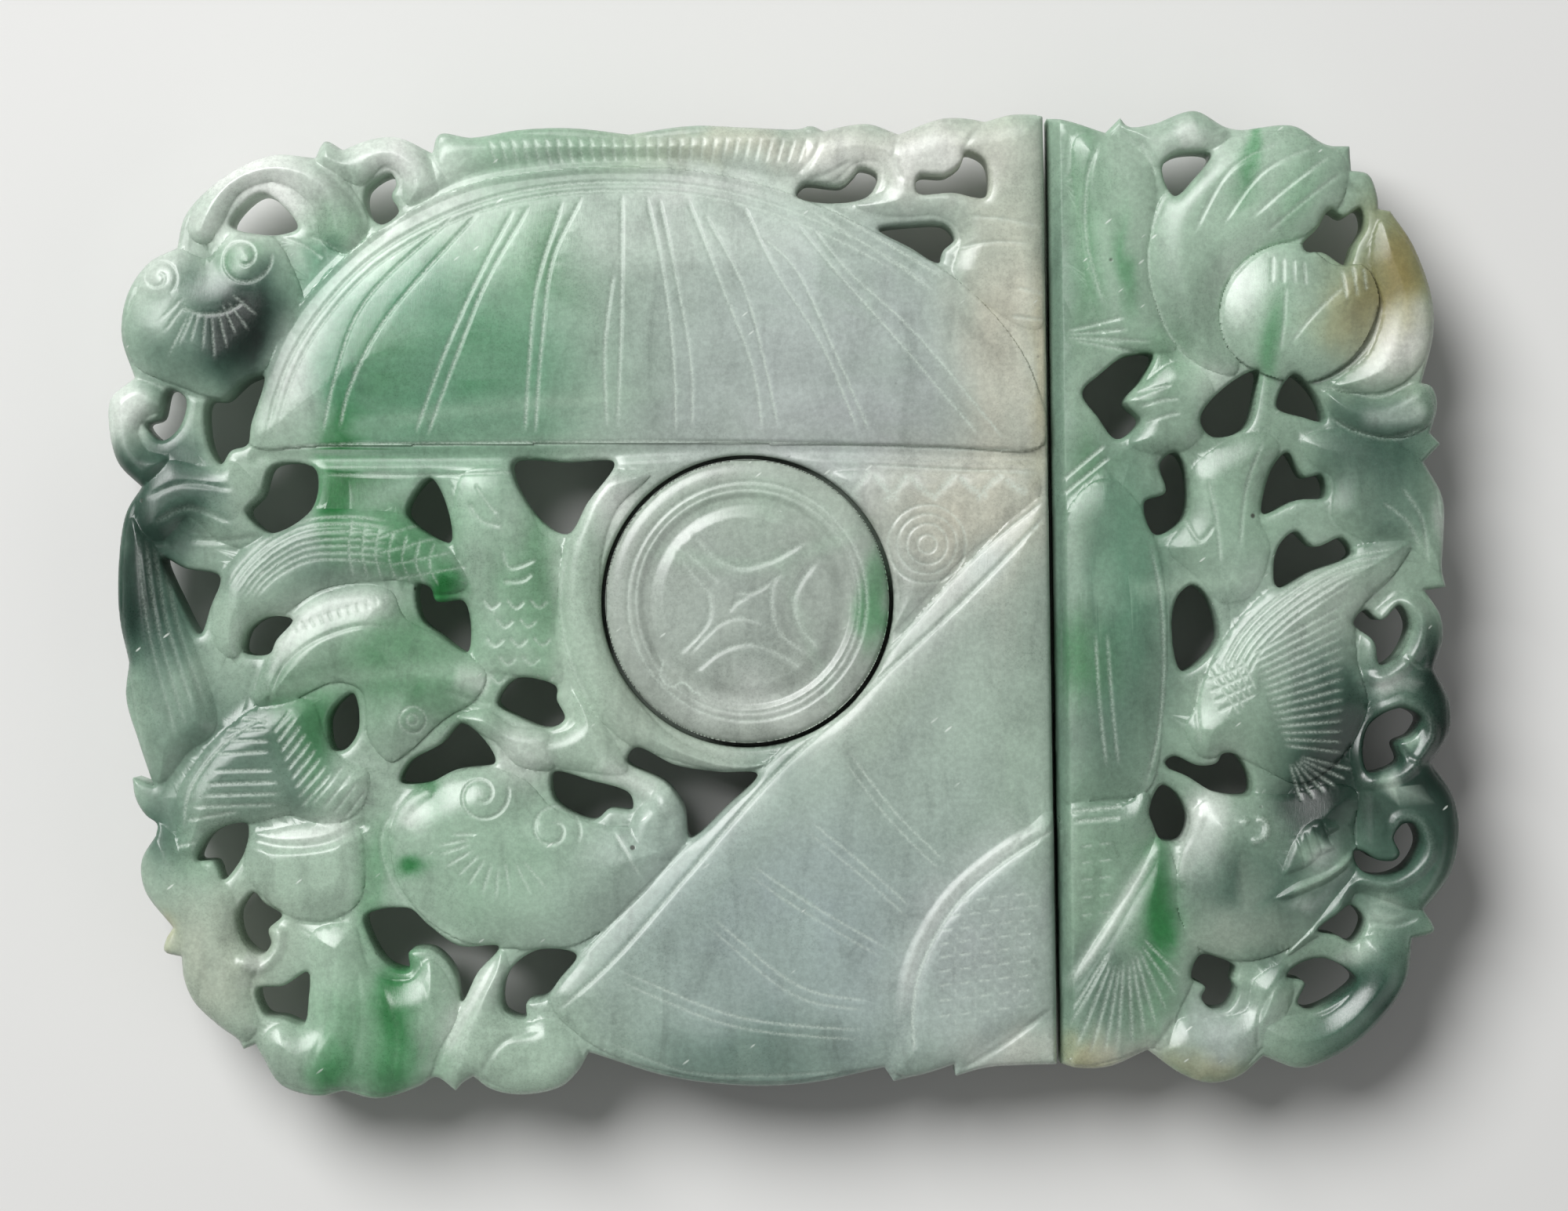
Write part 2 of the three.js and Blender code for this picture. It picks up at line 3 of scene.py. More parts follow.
import bpy
import numpy as np
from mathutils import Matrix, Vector


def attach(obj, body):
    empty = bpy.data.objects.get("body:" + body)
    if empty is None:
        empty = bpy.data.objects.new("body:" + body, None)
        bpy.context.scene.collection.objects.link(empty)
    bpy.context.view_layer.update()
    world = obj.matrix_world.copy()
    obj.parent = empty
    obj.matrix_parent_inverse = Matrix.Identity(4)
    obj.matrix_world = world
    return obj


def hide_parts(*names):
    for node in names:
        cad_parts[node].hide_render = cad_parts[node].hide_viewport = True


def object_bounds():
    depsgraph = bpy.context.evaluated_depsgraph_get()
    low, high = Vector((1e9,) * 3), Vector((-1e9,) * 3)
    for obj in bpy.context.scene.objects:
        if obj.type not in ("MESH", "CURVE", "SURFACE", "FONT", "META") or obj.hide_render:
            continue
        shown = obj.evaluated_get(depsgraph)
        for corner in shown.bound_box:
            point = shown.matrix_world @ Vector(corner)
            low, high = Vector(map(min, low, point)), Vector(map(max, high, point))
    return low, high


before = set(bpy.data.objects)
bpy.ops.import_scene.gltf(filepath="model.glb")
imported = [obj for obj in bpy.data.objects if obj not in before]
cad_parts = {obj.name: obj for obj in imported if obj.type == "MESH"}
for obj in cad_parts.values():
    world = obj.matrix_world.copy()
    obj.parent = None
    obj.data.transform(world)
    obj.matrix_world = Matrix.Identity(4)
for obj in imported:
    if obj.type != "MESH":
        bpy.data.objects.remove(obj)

CAD_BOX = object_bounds()
MM = 0.001

# Sizes in millimetres, the same as the plain solids'
PLATE_THICKNESS = 5.0
CLEARANCE = 0.3
SEAM_CHAMFER = 0.85
BOSS_RADIUS = 9.45
BOSS_RISE = 0.5
TONGUE_THICKNESS = 2.0
TONGUE_WIDTH = 15.0
TONGUE_LIP = 0.85
STUD_HEAD_RADIUS = 3.75
STUD_HEAD_THICKNESS = 1.8
STUD_NECK_RADIUS = 2.4
STUD_NECK_HEIGHT = 2.2
STUD_SIDE_GAP = 0.5
STUD_RIM_ROUND = 0.4
STUD_NECK_ROUND = 0.1
STUD_NECK_FLARE = 0.6
STUD_ROOT = 0.35
BOSS_ROOT = 0.4
BACK_Z = STUD_HEAD_THICKNESS + STUD_NECK_HEIGHT
FACE_Z = BACK_Z + PLATE_THICKNESS
OVERRUN = 1.0

# How the face is worked: the carving's lowest and highest level, and how edges are rolled
RELIEF_LOW, RELIEF_HIGH = -0.6, 1.4
CARVED_DEPTH = 1.2
ROLL_WIDTH, ROLL_DROP = 0.9, 0.16
RIM_ROUND = 0.3

# The photograph's frame: where the buckle lies in it, in pixels, and the scale that its length gives
PHOTO_WIDTH_PX = 2000
BUCKLE_WEST_PX, BUCKLE_EAST_PX = 138, 1862
BUCKLE_NORTH_PX, BUCKLE_SOUTH_PX = 142, 1403
MIDDLE_PX = np.array([(BUCKLE_WEST_PX + BUCKLE_EAST_PX) / 2, (BUCKLE_NORTH_PX + BUCKLE_SOUTH_PX) / 2])
PIXEL = (CAD_BOX[1].x - CAD_BOX[0].x) / MM / (BUCKLE_EAST_PX - BUCKLE_WEST_PX)
BOSS_CENTRE_PX = (953, 767)
SEAM_NORTH_PX = (1333, 149)
SEAM_SOUTH_PX = (1351, 1358)
TONGUE_STUD_PX = (1421, 775)

# The carving is worked out on a fine sheet of points over the whole front
STEP_PX = 1.5
EDGE_STEP_PX = 2.5
LINE_STEP_PX = 6.0
MARGIN_PX = 20
EDGE_REACH_PX = 40
SPLINE_SHARES = 24
WEST_PX, SOUTH_PX = BUCKLE_WEST_PX - MARGIN_PX, BUCKLE_SOUTH_PX + MARGIN_PX
ACROSS, DOWN = np.meshgrid(
    np.arange(WEST_PX, BUCKLE_EAST_PX + MARGIN_PX, STEP_PX),
    np.arange(SOUTH_PX, BUCKLE_NORTH_PX - MARGIN_PX, -STEP_PX),
)
relief = np.zeros(ACROSS.shape)
cut = np.zeros(ACROSS.shape)
frost = np.zeros(ACROSS.shape)

# Each row is one lobe of the receiver's edge, a smooth curve, and rows meet in a notch or a tip
RECEIVER_EDGE_PX = [
    [(180, 621), (150, 590), (138, 541), (141, 508), (171, 482)],
    [(171, 482), (154, 426), (163, 372), (190, 334), (225, 316)],
    [(225, 316), (236, 274), (280, 229), (345, 198), (402, 201)],
    [(402, 201), (414, 180), (437, 191)],
    [(437, 191), (470, 178), (506, 175), (551, 195)],
    [(551, 195), (560, 171), (601, 175), (663, 165), (730, 163), (802, 171)],
    [(802, 171), (881, 160), (950, 162), (1019, 164), (1034, 160), (1051, 167)],
    [(1051, 167), (1080, 160), (1109, 158), (1146, 171)],
    [(1146, 171), (1201, 151), (1235, 151), (1256, 155)],
    [(1256, 155), (1290, 146), (1322, 146), SEAM_NORTH_PX],
    [SEAM_SOUTH_PX, (1301, 1359), (1258, 1362), (1219, 1373)],
    [(1219, 1373), (1217, 1358)],
    [(1217, 1358), (1183, 1369), (1140, 1380)],
    [(1140, 1380), (1128, 1362)],
    [(1128, 1362), (1041, 1381), (980, 1386), (923, 1384), (852, 1374), (751, 1343)],
    [(751, 1343), (737, 1367), (715, 1387), (664, 1397), (626, 1390), (603, 1374)],
    [(603, 1374), (590, 1382), (581, 1392)],
    [(581, 1392), (555, 1375), (535, 1386), (481, 1402), (438, 1392)],
    [(438, 1392), (405, 1399), (357, 1384), (335, 1350), (325, 1333)],
    [(325, 1333), (310, 1339)],
    [(310, 1339), (303, 1327), (277, 1308), (247, 1279), (234, 1249), (231, 1221)],
    [(231, 1221), (209, 1214), (211, 1199), (220, 1184)],
    [(220, 1184), (184, 1136), (180, 1098), (199, 1066)],
    [(199, 1066), (200, 1052), (184, 1039), (172, 1018), (168, 992)],
    [(168, 992), (195, 1002)],
    [(195, 1002), (176, 946), (160, 890), (164, 845)],
    [(164, 845), (152, 790), (150, 730), (160, 655), (180, 621)],
]
TONGUE_EDGE_PX = [
    [SEAM_NORTH_PX, (1360, 153), (1410, 169)],
    [(1410, 169), (1429, 150)],
    [(1429, 150), (1440, 161), (1470, 158), (1524, 141), (1562, 161), (1582, 165), (1650, 160), (1692, 184),
     (1722, 186)],
    [(1722, 186), (1724, 217)],
    [(1724, 217), (1746, 222), (1757, 248), (1759, 266)],
    [(1759, 266), (1774, 269)],
    [(1774, 269), (1803, 312), (1827, 379), (1829, 425), (1814, 488)],
    [(1814, 488), (1827, 493), (1834, 515), (1825, 552)],
    [(1825, 552), (1838, 566)],
    [(1838, 566), (1817, 589)],
    [(1817, 589), (1841, 636), (1842, 685), (1840, 724), (1845, 749)],
    [(1845, 749), (1818, 753)],
    [(1818, 753), (1838, 785), (1841, 815), (1829, 853)],
    [(1829, 853), (1849, 893), (1849, 935), (1826, 973)],
    [(1826, 973), (1854, 1015), (1862, 1061), (1851, 1114), (1817, 1161)],
    [(1817, 1161), (1830, 1188), (1802, 1198)],
    [(1802, 1198), (1794, 1252), (1762, 1301), (1717, 1340), (1660, 1363), (1612, 1348)],
    [(1612, 1348), (1580, 1374), (1545, 1382), (1510, 1372), (1464, 1340)],
    [(1464, 1340), (1415, 1361), (1376, 1363), SEAM_SOUTH_PX],
]
RECEIVER_PIERCINGS_PX = [
    [(293, 287), (312, 258), (335, 246), (364, 266), (379, 290), (362, 298), (332, 299)],
    [(498, 221), (505, 234), (499, 250), (508, 270), (486, 286), (468, 270), (467, 240)],
    [(1016, 250), (1024, 234), (1073, 235), (1089, 222), (1097, 213), (1119, 222), (1108, 249),
     (1060, 259)],
    [(1172, 224), (1206, 222), (1226, 208), (1232, 193), (1257, 205), (1257, 251), (1215, 246),
     (1170, 246)],
    [(1121, 292), (1160, 285), (1206, 286), (1218, 304), (1203, 320), (1198, 335), (1160, 315)],
    [(213, 497), (236, 508), (228, 545), (205, 562), (184, 541), (201, 533)],
    [(264, 512), (284, 510), (314, 485), (336, 480), (320, 541), (315, 567), (294, 575), (281, 592),
     (265, 568)],
    [(347, 594), (401, 598), (398, 648), (345, 680), (314, 653), (331, 632)],
    [(548, 610), (568, 641), (574, 692), (518, 655)],
    [(653, 590), (720, 588), (783, 590), (749, 642), (724, 681), (684, 659)],
    [(207, 712), (236, 725), (280, 736), (268, 774), (254, 809), (228, 766)],
    [(310, 832), (315, 804), (340, 787), (373, 791), (352, 817), (343, 834)],
    [(532, 746), (549, 750), (556, 767), (592, 768), (596, 832), (562, 811), (536, 788)],
    [(450, 885), (457, 930), (440, 956), (424, 957), (417, 922), (427, 900)],
    [(634, 897), (657, 866), (709, 876), (710, 893), (720, 917), (700, 929), (660, 915)],
    [(521, 973), (560, 950), (588, 923), (618, 945), (631, 973), (580, 983), (545, 999), (511, 998)],
    [(705, 986), (754, 996), (803, 1013), (806, 1033), (777, 1033), (757, 1047), (708, 1022)],
    [(799, 971), (811, 954), (861, 976), (917, 985), (966, 988), (930, 1027), (880, 1069), (872, 1030),
     (850, 1000)],
    [(314, 1051), (314, 1078), (302, 1104), (283, 1123), (272, 1100), (251, 1097), (268, 1064)],
    [(323, 1139), (337, 1153), (359, 1168), (342, 1186), (345, 1205), (331, 1219), (308, 1201),
     (302, 1165)],
    [(327, 1263), (361, 1258), (392, 1241), (393, 1275), (386, 1308), (360, 1300), (337, 1295)],
    [(466, 1169), (521, 1159), (546, 1180), (586, 1207), (636, 1208), (609, 1241), (588, 1279), (577, 1238),
     (550, 1212), (522, 1214), (521, 1237), (495, 1232), (470, 1195)],
    [(693, 1211), (735, 1219), (712, 1252), (695, 1273), (672, 1279), (670, 1300), (643, 1290), (643, 1252),
     (664, 1224)],
]
TONGUE_PIERCINGS_PX = [
    [(1483, 212), (1502, 195), (1545, 196), (1525, 226), (1498, 250)],
    [(1662, 312), (1681, 291), (1697, 267), (1716, 275), (1736, 265), (1742, 286), (1729, 312), (1718, 338),
     (1688, 322), (1666, 321)],
    [(1381, 501), (1404, 477), (1437, 453), (1471, 452), (1458, 483), (1436, 512), (1455, 536), (1425, 560),
     (1400, 531)],
    [(1531, 535), (1559, 497), (1605, 472), (1604, 500), (1590, 545), (1547, 557)],
    [(1629, 519), (1650, 477), (1681, 505), (1689, 537), (1662, 532)],
    [(1480, 592), (1499, 577), (1513, 596), (1512, 660), (1474, 682), (1460, 641), (1487, 628)],
    [(1625, 594), (1643, 577), (1665, 608), (1687, 606), (1692, 633), (1655, 638), (1611, 655),
     (1613, 627)],
    [(1625, 724), (1632, 696), (1653, 678), (1678, 697), (1713, 686), (1726, 706), (1677, 729),
     (1630, 749)],
    [(1495, 792), (1504, 759), (1522, 746), (1543, 763), (1554, 818), (1508, 856)],
    [(1487, 972), (1498, 965), (1530, 977), (1553, 973), (1560, 962), (1578, 963), (1596, 992),
     (1595, 1013), (1551, 1011), (1514, 990), (1490, 979)],
    [(1466, 1034), (1482, 1002), (1503, 1014), (1518, 1046), (1507, 1073), (1481, 1071), (1471, 1052)],
    [(1727, 795), (1742, 778), (1762, 791), (1785, 772), (1800, 797), (1782, 838), (1760, 848),
     (1752, 818)],
    [(1738, 964), (1747, 924), (1786, 903), (1813, 916), (1803, 937), (1783, 948), (1788, 972),
     (1746, 985)],
    [(1727, 1086), (1738, 1086), (1757, 1097), (1779, 1097), (1785, 1089), (1777, 1068), (1789, 1051),
     (1803, 1052), (1813, 1075), (1796, 1106), (1766, 1118), (1735, 1109)],
    [(1681, 1187), (1704, 1167), (1723, 1155), (1742, 1175), (1728, 1203), (1706, 1194)],
    [(1520, 1247), (1531, 1219), (1548, 1220), (1576, 1234), (1574, 1252), (1578, 1264), (1566, 1286),
     (1546, 1288), (1533, 1273), (1538, 1260)],
    [(1642, 1246), (1656, 1231), (1690, 1223), (1731, 1250), (1716, 1268), (1672, 1289), (1656, 1280),
     (1665, 1254)],
]


def smooth(row_px, closed=False, step=LINE_STEP_PX):
    """Even steps along a centripetal Catmull-Rom curve through pixels.

    Between two points the curve is Barry and Goldman's pyramid of straight blends, with knots
    spaced by the square root of the chord. The last point of an open row is kept.
    """
    points = np.array(row_px, float)
    if len(points) == 2:
        count = max(1, int(round(np.hypot(*(points[1] - points[0])) / step)))
        return points[0] + (points[1] - points[0]) * np.linspace(0, 1, count + 1)[:, None]
    if closed:
        rim = np.vstack([points[-1], points, points[:2]])
    else:
        rim = np.vstack([2 * points[0] - points[1], points, 2 * points[-1] - points[-2]])
    p = [rim[k:len(rim) - 3 + k, None] for k in range(4)]
    knot = [np.zeros((len(rim) - 3, 1, 1))]
    for k in range(3):
        knot.append(knot[-1] + np.sqrt(np.linalg.norm(p[k + 1] - p[k], axis=2, keepdims=True)))
    t = knot[1] + (knot[2] - knot[1]) * np.linspace(0, 1, SPLINE_SHARES, endpoint=False)[None, :, None]

    def blend(a, b, low, high):
        return (a * (high - t) + b * (t - low)) / (high - low)

    first = [blend(p[k], p[k + 1], knot[k], knot[k + 1]) for k in range(3)]
    second = [blend(first[k], first[k + 1], knot[k], knot[k + 2]) for k in range(2)]
    curve = blend(second[0], second[1], knot[1], knot[2]).reshape(-1, 2)
    curve = np.vstack([curve, points[:1] if closed else points[-1:]])
    along = np.concatenate([[0], np.cumsum(np.hypot(*np.diff(curve, axis=0).T))])
    even = np.linspace(0, along[-1], max(3, int(round(along[-1] / step))) + 1)
    result = np.column_stack([np.interp(even, along, curve[:, 0]), np.interp(even, along, curve[:, 1])])
    return result[:-1] if closed else result


def across_seam(points, side):
    """How far pixels lie from the seam's middle line, on the side of one half."""
    north, south = np.array(SEAM_NORTH_PX, float), np.array(SEAM_SOUTH_PX, float)
    along = (south - north) / np.hypot(*(south - north))
    across = np.array([along[1], -along[0]]) * side
    return (points - north) @ across, across


def edge_loop(rows_px, side):
    """A half's whole edge: its lobes in order, with the seam's side drawn back by half the clearance."""
    parts = []
    for row in rows_px:
        curve = smooth(row, step=EDGE_STEP_PX)
        parts.append(curve if row[-1] in (SEAM_NORTH_PX, SEAM_SOUTH_PX) else curve[:-1])
    points = np.vstack(parts)
    beyond, across = across_seam(points, side)
    return points + across * np.maximum(CLEARANCE / 2 / PIXEL - beyond, 0)[:, None]


def window(low, high):
    """The part of the sheet between two corners in pixels, as a pair of slices."""
    rows, columns = ACROSS.shape
    west = max(0, int((low[0] - WEST_PX) / STEP_PX))
    east = min(columns, int((high[0] - WEST_PX) / STEP_PX) + 2)
    south = max(0, int((SOUTH_PX - high[1]) / STEP_PX))
    north = min(rows, int((SOUTH_PX - low[1]) / STEP_PX) + 2)
    return slice(south, max(north, south)), slice(west, max(east, west))


def inside(loop):
    """Whether each point of the sheet lies in a closed loop.

    Each side of the loop is crossed by some rows of the sheet. A point is inside where an odd
    number of those crossings lie to its west.
    """
    start, end = loop, np.roll(loop, -1, 0)
    row_start, row_end = (SOUTH_PX - start[:, 1]) / STEP_PX, (SOUTH_PX - end[:, 1]) / STEP_PX
    first = np.floor(np.minimum(row_start, row_end)).astype(int)
    counts = np.floor(np.maximum(row_start, row_end)).astype(int) - first
    side = np.repeat(np.arange(len(loop)), counts)
    passed = np.repeat(np.cumsum(counts) - counts, counts)
    row = np.repeat(first, counts) + 1 + np.arange(counts.sum()) - passed
    share = (row - row_start[side]) / (row_end[side] - row_start[side])
    across = start[side, 0] + share * (end[side, 0] - start[side, 0])
    column = np.ceil((across - WEST_PX) / STEP_PX).astype(int)
    rows, columns = ACROSS.shape
    kept = (row >= 0) & (row < rows)
    toggles = np.zeros((rows, columns + 1), int)
    np.add.at(toggles, (row[kept], np.clip(column[kept], 0, columns)), 1)
    return (np.cumsum(toggles, axis=1)[:, :columns] % 2).astype(bool)


def near(path, reach, closed=False):
    """Where a path passes on the sheet: the window, the distance to it and the share along it.

    Each side of the path is measured on the patch round it alone, by dropping a perpendicular on
    the side and holding its foot between the side's ends. The least distance is kept.
    """
    area = window(path.min(0) - reach, path.max(0) + reach)
    x, y = ACROSS[area], DOWN[area]
    least = np.full(x.shape, float(reach))
    share = np.zeros(x.shape)
    ends = np.vstack([path, path[:1]]) if closed else path
    lengths = np.hypot(*np.diff(ends, axis=0).T)
    total = max(lengths.sum(), 1e-9)
    passed = np.concatenate([[0], np.cumsum(lengths)])
    for start, end, length, before in zip(ends[:-1], ends[1:], lengths, passed):
        if length == 0:
            continue
        patch = window(np.minimum(start, end) - reach, np.maximum(start, end) + reach)
        local = tuple(slice(s.start - a.start, s.stop - a.start) for s, a in zip(patch, area))
        px, py = x[local] - start[0], y[local] - start[1]
        dx, dy = (end - start) / length
        foot = np.clip(px * dx + py * dy, 0, length)
        distance = np.hypot(px - foot * dx, py - foot * dy)
        closer = distance < least[local]
        least[local] = np.where(closer, distance, least[local])
        share[local] = np.where(closer, (before + foot) / total, share[local])
    return area, least, share


def depth_inside(loop, reach):
    """Distance in from a closed loop, in pixels: positive inside it, negative outside, up to reach."""
    area, least, _ = near(loop, reach, closed=True)
    within = inside(loop)
    whole = np.where(within, float(reach), -float(reach))
    whole[area] = np.where(within[area], least, -least)
    return whole


def cloud(size, seed, stretch=1.0, octaves=2):
    """Smooth random values about zero over the sheet, with spots of a size in pixels.

    Random numbers stand on a coarse grid, and the sheet blends the four nearest with a smooth
    step. Each further octave has half the size and half the height.
    """
    total = np.zeros(ACROSS.shape)
    grid = 160
    for octave in range(octaves):
        values = np.random.default_rng(seed + octave).uniform(-1, 1, (grid, grid))
        u = (ACROSS - WEST_PX) / size * 2 ** octave
        v = (DOWN - BUCKLE_NORTH_PX + MARGIN_PX) / (size * stretch) * 2 ** octave
        u, v = np.abs(u) % (grid - 2), np.abs(v) % (grid - 2)
        c, r = u.astype(int), v.astype(int)
        u, v = u - c, v - r
        u, v = u * u * (3 - 2 * u), v * v * (3 - 2 * v)
        low = values[r, c] * (1 - u) + values[r, c + 1] * u
        high = values[r + 1, c] * (1 - u) + values[r + 1, c + 1] * u
        total += (low * (1 - v) + high * v) / 2 ** octave
    return total


# An engraved line's valley, as shares of the width, depth and white that the line is given
VALLEY_SHARE, VALLEY_REACH_SHARE, VALLEY_DEPTH_SHARE, VALLEY_FROST_SHARE = 0.44, 1.8, 0.45, 0.95


def groove(row_px, width=5.0, depth=0.16, white=1.0, taper=0.12):
    """An engraved line: a rounded valley along a smooth curve, shallower towards its ends.

    Across the line the depth falls off as exp(-(distance over VALLEY_SHARE of the width) squared).
    taper is the share of the length over which each end runs out.
    """
    area, distance, share = near(smooth(row_px), width * VALLEY_REACH_SHARE)
    ends = np.clip(np.minimum(share, 1 - share) / taper, 0, 1) if taper else 1.0
    valley = np.exp(-(distance / (width * VALLEY_SHARE)) ** 2) * ends
    cut[area] = np.maximum(cut[area], VALLEY_DEPTH_SHARE * depth * valley)
    frost[area] = np.maximum(frost[area], VALLEY_FROST_SHARE * white * valley)


def grooves(rows_px, *kind, **ends):
    """Several engraved lines of one kind."""
    for row in rows_px:
        groove(row, *kind, **ends)


def spread(first_px, last_px, count, *kind, **ends):
    """Engraved lines set evenly between a first and a last line, point by point."""
    first, last = np.array(first_px, float), np.array(last_px, float)
    for share in np.linspace(0, 1, count):
        groove(first + (last - first) * share, *kind, **ends)


def rays(hub_px, tips_px, start, *kind, **ends):
    """Engraved lines from a share of the way out of a hub to each tip."""
    hub = np.array(hub_px, float)
    for tip in np.array(tips_px, float):
        groove([hub + (tip - hub) * start, tip], *kind, **ends)


def spiral(centre_px, radius, turns, start, hand, *kind):
    """An engraved scroll: the radius grows evenly from an inner share to the whole as it turns."""
    count, inner_share = 22, 0.12
    angle = start + hand * np.linspace(0, turns * 2 * math.pi, count)
    reach = radius * np.linspace(inner_share, 1, count)
    points = np.column_stack([centre_px[0] + reach * np.cos(angle), centre_px[1] - reach * np.sin(angle)])
    groove(points, *kind, taper=0.06)


RIDGE_TAPER_SHARE = 0.1


def ridge(row_px, width=10.0, height=0.15, white=0.0, closed=False):
    """A raised cord along a smooth curve, with a rounded top."""
    area, distance, share = near(smooth(row_px, closed), width, closed)
    ends = 1.0 if closed else np.clip(np.minimum(share, 1 - share) / RIDGE_TAPER_SHARE, 0, 1)
    top = np.cos(np.clip(distance / width, 0, 1) * math.pi / 2) ** 2 * ends
    relief[area] += height * top
    frost[area] = np.maximum(frost[area], white * top)


def rising(value, low, high):
    """A smooth step from zero at the low value to one at the high one."""
    share = np.clip((value - low) / (high - low), 0, 1)
    return share * share * (3 - 2 * share)


def hollow(row_px, width=14.0, depth=0.3, closed=False):
    """A broad trough along a smooth curve, which sets two motifs apart."""
    area, distance, _ = near(smooth(row_px, closed), width, closed)
    relief[area] -= depth * np.cos(np.clip(distance / width, 0, 1) * math.pi / 2) ** 2


def motif(loop_px, height, shoulder, floor=0.0, stacked=False):
    """A raised shape: a closed smooth curve whose height rises from its rim to a domed top.

    At a share t of the shoulder's width the height is the sine of a quarter turn times t. A
    stacked motif lies on what is there. Any other one only fills up to its own height.
    """
    within = depth_inside(smooth(loop_px, closed=True), shoulder)
    rise = height * np.sin(np.clip(within / shoulder, 0, 1) * math.pi / 2)
    if stacked:
        relief[:] += rise
    else:
        relief[:] = np.where(within > 0, np.maximum(relief, floor + rise), relief)
    return within


def bowl(centre_px, radius, height, squash=1.0):
    """A round or oval swelling: height times the square of one less the squared radius share."""
    share = ((ACROSS - centre_px[0]) ** 2 + ((DOWN - centre_px[1]) / squash) ** 2) / radius ** 2
    relief[:] += height * np.clip(1 - share, 0, 1) ** 2


# What is carved on the receiver
GREAT_DOME_PX = [
    (318, 566), (326, 520), (338, 480), (368, 411), (425, 342), (509, 277), (600, 236), (700, 219),
    (779, 214), (891, 219), (1002, 246), (1121, 299), (1201, 343), (1275, 410), (1318, 480), (1331, 566),
    (1180, 568), (900, 566), (600, 567), (420, 569),
]
DOME_RIM_INNER_PX = [
    (340, 560), (352, 508), (374, 452), (412, 394), (470, 333), (545, 286), (625, 254), (705, 238),
    (780, 233), (888, 238), (994, 264), (1110, 315), (1190, 366),
]
DOME_RIBS_PX = [
    [[(580, 275), (463, 391), (427, 488), (412, 554)], [(612, 270), (488, 415), (448, 494), (433, 548)]],
    [[(656, 267), (621, 333), (573, 439), (530, 554)], [(676, 262), (621, 360), (585, 451), (545, 557)]],
    [[(718, 256), (685, 367), (676, 463), (670, 551)], [(743, 251), (706, 330), (692, 439), (683, 554)]],
    [[(783, 348), (772, 439), (774, 545)], [(793, 248), (793, 403), (788, 545)]],
    [[(824, 250), (848, 360), (860, 470), (862, 551)], [(840, 251), (865, 367), (882, 470), (883, 545)]],
    [[(875, 251), (921, 367), (960, 470), (972, 548)], [(898, 273), (948, 367), (975, 463), (992, 545)]],
    [[(945, 256), (986, 342), (1047, 439), (1095, 551)], [(968, 299), (1011, 340), (1060, 440),
     (1109, 551)]],
    [[(1012, 282), (1060, 340), (1132, 421), (1247, 554)], [(1030, 284), (1080, 345), (1162, 421),
     (1280, 560)]],
]
FAN_PX = [
    (1335, 634), (1239, 713), (1126, 835), (968, 983), (886, 1065), (737, 1221), (699, 1270), (760, 1335),
    (880, 1372), (1000, 1380), (1110, 1364), (1150, 1372), (1345, 1360), (1348, 1000), (1340, 760),
]
BASKET_PX = [
    (1142, 1368), (1140, 1290), (1154, 1223), (1200, 1142), (1262, 1086), (1345, 1036), (1350, 1180),
    (1350, 1290), (1277, 1335), (1215, 1362),
]


def great_dome():
    """The ribbed dome: a cushion over its whole breadth, a double rim, paired ribs and a base band."""
    motif(GREAT_DOME_PX, 0.95, 150, 0.2)
    ridge(GREAT_DOME_PX[:14], 9, 0.12)
    groove(DOME_RIM_INNER_PX, 6, 0.2, 0.7, taper=0.04)
    rim = smooth(DOME_RIM_INNER_PX)
    middle = np.array((790, 660))
    groove((rim + (middle - rim) * 0.026)[::6], 5, 0.14, 0.8, taper=0.06)
    for pair in DOME_RIBS_PX:
        grooves(pair, 5, 0.17, 0.85, taper=0.05)
    hollow([(330, 584), (700, 582), (940, 574), (1330, 584)], 16, 0.22)
    groove([(349, 573), (414, 568), (559, 566), (939, 564), (1303, 575)], 5, 0.2, 0.85, taper=0.02)
    groove([(404, 604), (560, 606), (700, 600), (800, 596)], 5, 0.14, 0.4)
    groove([(1090, 592), (1200, 598), (1330, 604)], 5, 0.16, 0.5)
    grooves([[(1026, 264), (1132, 330), (1192, 373)], [(1036, 254), (1140, 316), (1205, 356)]], 5, 0.12)


def frill():
    """The strip above the dome, with short strokes that lean towards its middle."""
    motif([(556, 185), (640, 172), (800, 176), (1030, 170), (1050, 215), (1000, 226), (890, 204),
        (780, 200), (700, 204), (600, 222), (548, 246)], 0.3, 20)
    for across in np.linspace(622, 1028, 29):
        lean = (across - 830) * 0.06
        groove([(across, 172 + abs(across - 830) * 0.02), (across - lean, 206 + abs(across - 830) * 0.03)],
               5, 0.14, 0.55, taper=0.25)
    groove([(551, 194), (560, 212), (572, 230)], 6, 0.2, 0.6)


def bat(body_px, hub_px, tips_px, scrolls, line_px):
    """A bat: a domed body, two scrolled ears, and a fan of strokes below the brow."""
    motif(body_px, 0.85, 60, 0.15)
    for centre, radius, start, hand in scrolls:
        bowl(centre, radius * 1.25, 0.2)
        spiral(centre, radius, 1.5, start, hand, 5, 0.2, 0.6)
    rays(hub_px, tips_px, 0.45, 4, 0.09, 0.6, taper=0.25)
    groove(line_px, 8, 0.2, 0.3)


